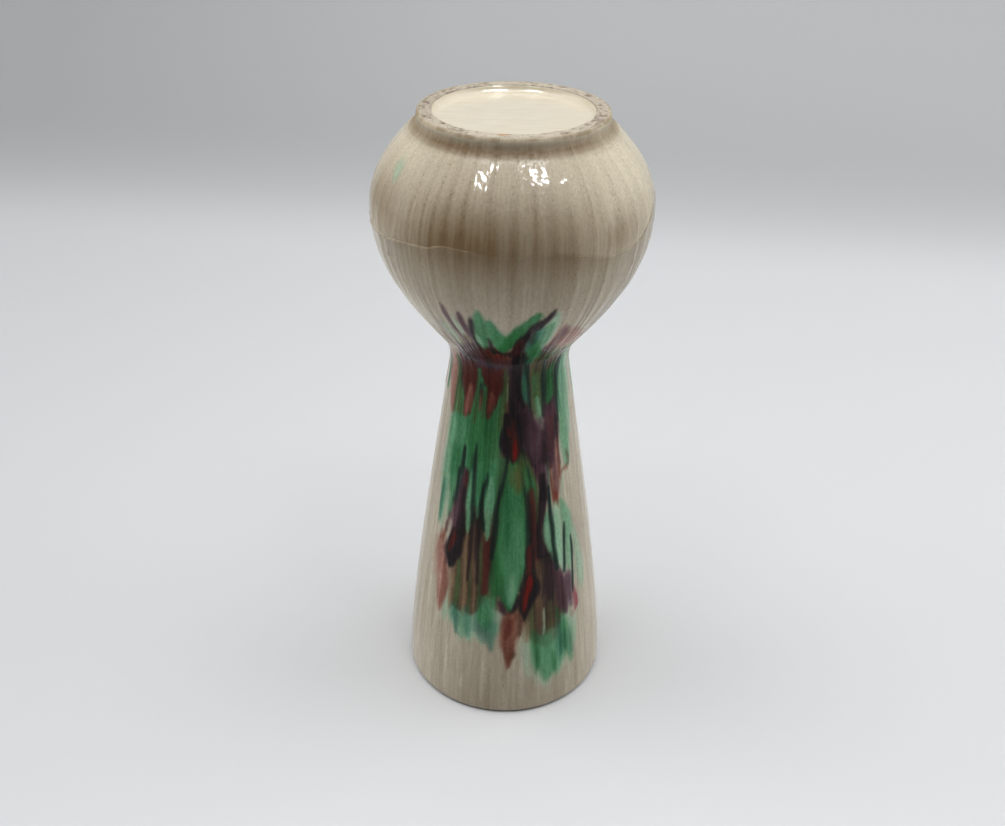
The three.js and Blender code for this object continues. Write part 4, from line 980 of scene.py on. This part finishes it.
def node(tree, kind, inputs=None, **settings):
    """A new node with its settings and its inputs filled."""
    made = tree.nodes.new(kind)
    for key, value in settings.items():
        setattr(made, key, value)
    for key, value in (inputs or {}).items():
        fill(tree, made.inputs[key], value)
    return made


def calc(tree, operation, *values, clamp=False):
    """What a Math node makes of its values."""
    made = node(tree, "ShaderNodeMath", dict(enumerate(values)), operation=operation, use_clamp=clamp)
    return made.outputs[0]


def spread(tree, value, low, high, to_low=0.0, to_high=1.0):
    """A value carried from one range to another, held at its ends."""
    ranges = {"Value": value, "From Min": low, "From Max": high, "To Min": to_low, "To Max": to_high}
    return node(tree, "ShaderNodeMapRange", ranges).outputs[0]


def blend(tree, share, a, b, mode="MIX"):
    """Two colours mixed."""
    made = node(tree, "ShaderNodeMix", data_type="RGBA", blend_type=mode)
    for socket, value in ((made.inputs[0], share), (made.inputs[6], a), (made.inputs[7], b)):
        fill(tree, socket, value)
    return made.outputs[2]


def rgba(rgb):
    """An sRGB byte colour for a colour socket."""
    return (*linear(rgb), 1.0)


def object_place(tree):
    """The place on the surface, in metres."""
    return node(tree, "ShaderNodeTexCoord").outputs["Object"]


def noise(tree, scale, detail, roughness=0.55):
    """Noise in object space; scale is cells per metre in x, y and z."""
    moved = node(tree, "ShaderNodeMapping", {"Vector": object_place(tree), "Scale": scale}).outputs[0]
    inputs = {"Vector": moved, "Scale": 1.0, "Detail": detail, "Roughness": roughness}
    return node(tree, "ShaderNodeTexNoise", inputs).outputs["Fac"]


def cells(tree, scale, feature):
    """How far a place is from its cell's middle (F1) or edge; scale is cells per metre."""
    inputs = {"Vector": object_place(tree), "Scale": scale}
    return node(tree, "ShaderNodeTexVoronoi", inputs, feature=feature).outputs[0]


def painted(tree, layer, output):
    """What a mesh's own layer says at each point."""
    return node(tree, "ShaderNodeAttribute", attribute_name=layer).outputs[output]


def bump(tree, shader, height, strength, distance):
    """Fine relief in the gloss; distance is in metres."""
    bumped = node(tree, "ShaderNodeBump", {"Height": height, "Strength": strength, "Distance": distance})
    tree.links.new(bumped.outputs[0], shader.inputs["Normal"])


SPECKLE, CRACKLE = (96, 74, 46), (96, 80, 60)
# In metres: the gloss is pitted at the front of the shoulder, and dull where the glaze thins by the foot.
PITTED_Z, PITTED_Y, DULL_Z = (0.180, 0.187), (-0.018, -0.010), (0.1935, 0.1955)


def glaze_material(name):
    """The outside glaze: painted colour, fine streaks, brown speckle, crackle and a dimpled gloss."""
    material, tree, shader = new_material(name)
    groove = painted(tree, "groove", "Fac")
    cover = painted(tree, "cover", "Fac")
    bare = calc(tree, "SUBTRACT", 1.0, cover, clamp=True)
    # fine vertical streaks in the glaze
    streak = calc(tree, "MULTIPLY_ADD", noise(tree, (1500, 1500, 90), 4), 0.42, 0.79)
    colour = blend(tree, 1.0, painted(tree, "tint", "Color"), streak, "MULTIPLY")
    # grain in the coloured glaze
    grain = spread(tree, noise(tree, (1300, 1300, 800), 4, 0.65), 0.3, 0.7, 0.75, 1.25)
    colour = blend(tree, cover, colour, blend(tree, 1.0, colour, grain, "MULTIPLY"))
    # brown speckle that gathers in the grooves of the bare glaze
    speck = spread(tree, noise(tree, (1400, 1400, 900), 3, 0.7), 0.52, 0.70)
    speck_share = calc(tree, "MULTIPLY", calc(tree, "MULTIPLY_ADD", groove, 0.45, 0.14), bare)
    colour = blend(tree, calc(tree, "MULTIPLY", speck_share, speck, clamp=True), colour, rgba(SPECKLE))
    # crackle
    crack = spread(tree, cells(tree, 900.0, "DISTANCE_TO_EDGE"), 0.0, 0.06, 0.16, 0.0)
    colour = blend(tree, calc(tree, "MULTIPLY", crack, bare), colour, rgba(CRACKLE))
    tree.links.new(colour, shader.inputs["Base Color"])
    # pits and dimples in the gloss
    away, up = node(tree, "ShaderNodeSeparateXYZ", {0: object_place(tree)}).outputs[1:]
    pitted = calc(tree, "MULTIPLY", spread(tree, up, *PITTED_Z), spread(tree, away, *PITTED_Y, 1.0, 0.0))
    pits = calc(tree, "MULTIPLY", spread(tree, cells(tree, 1100.0, "F1"), 0.43, 0.50, 1.0, 0.0), pitted)
    dull = spread(tree, up, *DULL_Z, 0.0, 0.6)
    rough = calc(tree, "ADD", calc(tree, "MAXIMUM", calc(tree, "MULTIPLY", pits, 0.85), dull), 0.025)
    tree.links.new(rough, shader.inputs["Roughness"])
    shader.inputs["IOR"].default_value = 1.36
    shader.inputs["Specular IOR Level"].default_value = 0.17
    dimples = calc(tree, "MULTIPLY", noise(tree, (500, 500, 200), 3), 0.10)
    bump(tree, shader, calc(tree, "MULTIPLY_ADD", pits, -0.16, dimples), 0.25, 0.0002)
    return material


def finish_clay(material, tree, shader, colour, grit):
    """A dull, gritty surface in a colour."""
    tree.links.new(colour, shader.inputs["Base Color"])
    shader.inputs["Roughness"].default_value = 0.82
    bump(tree, shader, grit, 0.5, 0.0002)
    return material


def clay_material(name, pale, dark, stain):
    """Unglazed stoneware: gritty, with darker spots and patches."""
    material, tree, shader = new_material(name)
    grit = spread(tree, noise(tree, (900, 900, 900), 6, 0.7), 0.40, 0.64)
    blotch = spread(tree, noise(tree, (330, 330, 330), 4), 0.42, 0.60)
    colour = blend(tree, calc(tree, "MULTIPLY", blotch, 0.8), rgba(pale), rgba(stain))
    colour = blend(tree, calc(tree, "MULTIPLY", grit, 0.7), colour, rgba(dark))
    return finish_clay(material, tree, shader, colour, grit)


def worn_clay_material(name, grain_colour, pore_colour):
    """The rubbed foot: its painted colour with dark pores and pale grains."""
    material, tree, shader = new_material(name)
    pores = spread(tree, noise(tree, (1500, 1500, 1500), 5, 0.7), 0.52, 0.66)
    grain = spread(tree, noise(tree, (800, 800, 800), 3, 0.6), 0.52, 0.68)
    colour = painted(tree, "tint", "Color")
    colour = blend(tree, calc(tree, "MULTIPLY", grain, 0.4), colour, rgba(grain_colour))
    colour = blend(tree, calc(tree, "MULTIPLY", pores, 0.6), colour, rgba(pore_colour))
    return finish_clay(material, tree, shader, colour, pores)


def plain_glaze_material(name, thin, thick):
    """A glossy glaze with faint brush marks."""
    material, tree, shader = new_material(name)
    brush = spread(tree, noise(tree, (120, 900, 120), 5), 0.3, 0.72)
    tree.links.new(blend(tree, brush, rgba(thin), rgba(thick)), shader.inputs["Base Color"])
    cloud = noise(tree, (90, 90, 90), 3)
    tree.links.new(spread(tree, cloud, 0.3, 0.7, 0.1, 0.26), shader.inputs["Roughness"])
    shader.inputs["Coat Weight"].default_value = 0.3
    shader.inputs["Coat Roughness"].default_value = 0.06
    bump(tree, shader, brush, 0.12, 0.0003)
    return material


# ---- The vase ----
# The CAD's separate coats of poured glaze, all drawn on the neck's skin.
POURED = ["green_crest", "mint_crest", "oxblood_collar", "green_cloak", "aubergine_column", "oxblood_run",
          "olive_run", "green_leaf", "aubergine_run", "mint_panel", "mint_run", "red_bead",
          "aubergine_tail", "green_tail", "back_collar"]
skin_glaze = glaze_material("fluted_glaze")
worn_clay = worn_clay_material("worn_clay", (206, 196, 176), (92, 70, 46))
bare_clay = clay_material("bare_clay", (120, 98, 74), (62, 48, 34), (96, 76, 54))
slip_clay = clay_material("slip", (138, 116, 90), (96, 78, 58), (118, 98, 74))
cream_glaze = plain_glaze_material("cream_glaze", (227, 219, 200), (222, 210, 184))

for piece, material, slot, nodes in [
    (neck_skin(), skin_glaze, "base_glaze", ["mouth_glaze", *POURED]),
    (bulb_skin(), skin_glaze, "foot_glaze", ["base_glaze"]),
    (foot_ring(), worn_clay, "stoneware_clay", ["foot_ring"]),
    (recess(), cream_glaze, "recess_glaze", ["recess_glaze"]),
]:
    piece.data.materials.append(material)
    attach(piece, "root")
    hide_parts(*nodes)

for name, material in [
    ("neck", bare_clay),
    ("bulb", bare_clay),
    ("neck_slip", slip_clay),
    ("foot_slip", slip_clay),
    ("liner_glaze", cream_glaze),
]:
    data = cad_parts[name].data
    data.materials.clear()
    data.materials.append(material)


# ---- Stage, light and camera; these lengths are in metres ----
STAGE_HALF_WIDTH, STAGE_FRONT, STAGE_TOP = 3.0, -3.0, 1.6
BEND_START, BEND_RADIUS = 0.42, 0.24  # where the floor starts to curve up, and how
BEND_SKEW = -0.12  # the curve starts nearer on the right, by this much a metre
# the wall's darker grey is painted shade, where the sheet turns up away from the overhead light
FLOOR_GREY, SHADED_WALL_GREY = (211, 212, 214), (172, 174, 176)


def stage():
    """One seamless sheet: a pale floor that curves up behind the vase into a wall painted greyer as shade,
    all of it darkened towards the left as painted shade.
    """
    section = [(STAGE_FRONT, 0.0), (-0.6, 0.0), (0.0, 0.0), (BEND_START, 0.0)]
    section += [(BEND_START + BEND_RADIUS * math.sin(a), BEND_RADIUS * (1 - math.cos(a)))
                for a in np.linspace(0, math.pi / 2, 17)[1:]]
    section.append((BEND_START + BEND_RADIUS, STAGE_TOP))
    across = np.linspace(-STAGE_HALF_WIDTH, STAGE_HALF_WIDTH, 7)
    columns = len(across)
    points = [(x, y + BEND_SKEW * x * smoothstep(y / BEND_START), z) for y, z in section for x in across]
    faces = []
    for row in range(len(section) - 1):
        for column in range(columns - 1):
            i = row * columns + column
            faces.append((i, i + 1, i + columns + 1, i + columns))
    mesh = bpy.data.meshes.new("floor_and_wall")
    mesh.from_pydata(points, [], faces)
    mesh.polygons.foreach_set("use_smooth", np.ones(len(faces), bool))
    sheet = link("floor_and_wall", mesh)

    material, tree, shader = new_material("floor_and_wall")
    place = node(tree, "ShaderNodeSeparateXYZ", {0: object_place(tree)})
    depth = calc(tree, "ADD", place.outputs["Y"], calc(tree, "MULTIPLY", place.outputs["X"], -BEND_SKEW))
    back = node(tree, "ShaderNodeMapRange", {"Value": depth, "From Min": 0.34, "From Max": 0.53},
                interpolation_type="SMOOTHSTEP").outputs[0]
    colour = blend(tree, back, rgba(FLOOR_GREY), rgba(SHADED_WALL_GREY))
    # painted shade: the sheet darkens towards the left
    painted_left_shade = spread(tree, place.outputs["X"], -0.36, -0.04, 0.84, 1.0)
    tree.links.new(blend(tree, 1.0, colour, painted_left_shade, "MULTIPLY"), shader.inputs["Base Color"])
    shader.inputs["Roughness"].default_value = 0.7
    mesh.materials.append(material)


stage()

world = bpy.data.worlds.new("studio")
bpy.context.scene.world = world
world.use_nodes = True
sky = world.node_tree
direction = node(sky, "ShaderNodeSeparateXYZ", {0: node(sky, "ShaderNodeTexCoord").outputs["Generated"]})
# The room is bright behind and beside the vase, and dim on the camera's side.
brightness = spread(sky, direction.outputs["Y"], -0.7, 0.1, 0.05, 0.88)
sky.links.new(brightness, sky.nodes["Background"].inputs["Strength"])
sky.nodes["Background"].inputs["Color"].default_value = (1, 1, 1, 1)


def area_light(name, place, target, size, power):
    """A rectangular lamp turned towards its target."""
    data = bpy.data.lights.new(name, "AREA")
    data.shape = "RECTANGLE"
    data.size, data.size_y = size
    data.energy = power
    lamp = link(name, data)
    lamp.location = place
    lamp.rotation_euler = (Vector(target) - Vector(place)).to_track_quat("-Z", "Y").to_euler()
    return lamp


MIDDLE = (0, 0, 0.1)  # half way up the vase
area_light("left_softbox", (-0.9, 0.15, 0.55), MIDDLE, (0.9, 1.1), 3.4)
area_light("right_softbox", (0.9, 0.15, 0.55), MIDDLE, (0.9, 1.1), 4.1)
area_light("overhead", (0, -0.1, 1.3), MIDDLE, (1.4, 1.0), 8.4)

# Lamps that are seen only as reflections in the gloss.
SHOULDER = (0, 0, 0.19)
GLINT = 1150.0  # watts per square metre of lamp
GLINT_Y, GLINT_Z = -0.42, 1.1
# A bent lamp on the left, in three parts: how far each lies to its side and along it.
LEFT_PLACE = Vector((-0.38, GLINT_Y, GLINT_Z))
LEFT_SIDE, LEFT_ALONG = Vector((0.76, -0.65, 0)), Vector((0.56, 0.65, 0.52))
LEFT_PARTS = [(0.07, 0.11), (-0.015, 0.0), (0.06, -0.11)]
LEFT_SIZE = (0.05, 0.13)
# Three tall lamps on the right and a small one beyond them: x, width, height.
RIGHT_LAMPS = [("lamp_right_0", 0.21, 0.03, 0.25), ("lamp_right_1", 0.275, 0.07, 0.16),
               ("lamp_right_2", 0.35, 0.045, 0.22), ("lamp_far_right", 0.60, 0.04, 0.08)]

glints = [(f"lamp_left_{part}", LEFT_PLACE + side * LEFT_SIDE + along * LEFT_ALONG, LEFT_SIZE)
          for part, (side, along) in enumerate(LEFT_PARTS)]
glints += [(name, (x, GLINT_Y, GLINT_Z), (wide, tall)) for name, x, wide, tall in RIGHT_LAMPS]
for name, place, size in glints:
    area_light(name, place, SHOULDER, size, GLINT * size[0] * size[1]).visible_diffuse = False

LENS, SENSOR = 40.97, 36.0
CAMERA_PLACE = (-0.00194, -0.3148, 0.29433)
CAMERA_DOWN, CAMERA_ROLL = 31.664, 0.822  # degrees

camera_data = bpy.data.cameras.new("camera")
camera_data.lens = LENS
camera_data.sensor_width = SENSOR
camera_data.clip_start = 0.01
camera = link("camera", camera_data)
camera.location = CAMERA_PLACE
tilt = Euler((math.radians(90 - CAMERA_DOWN), 0, 0)).to_matrix()
camera.rotation_euler = (tilt @ Matrix.Rotation(math.radians(CAMERA_ROLL), 3, "Z")).to_euler()
bpy.context.scene.camera = camera
bpy.context.scene.view_settings.view_transform = "Standard"
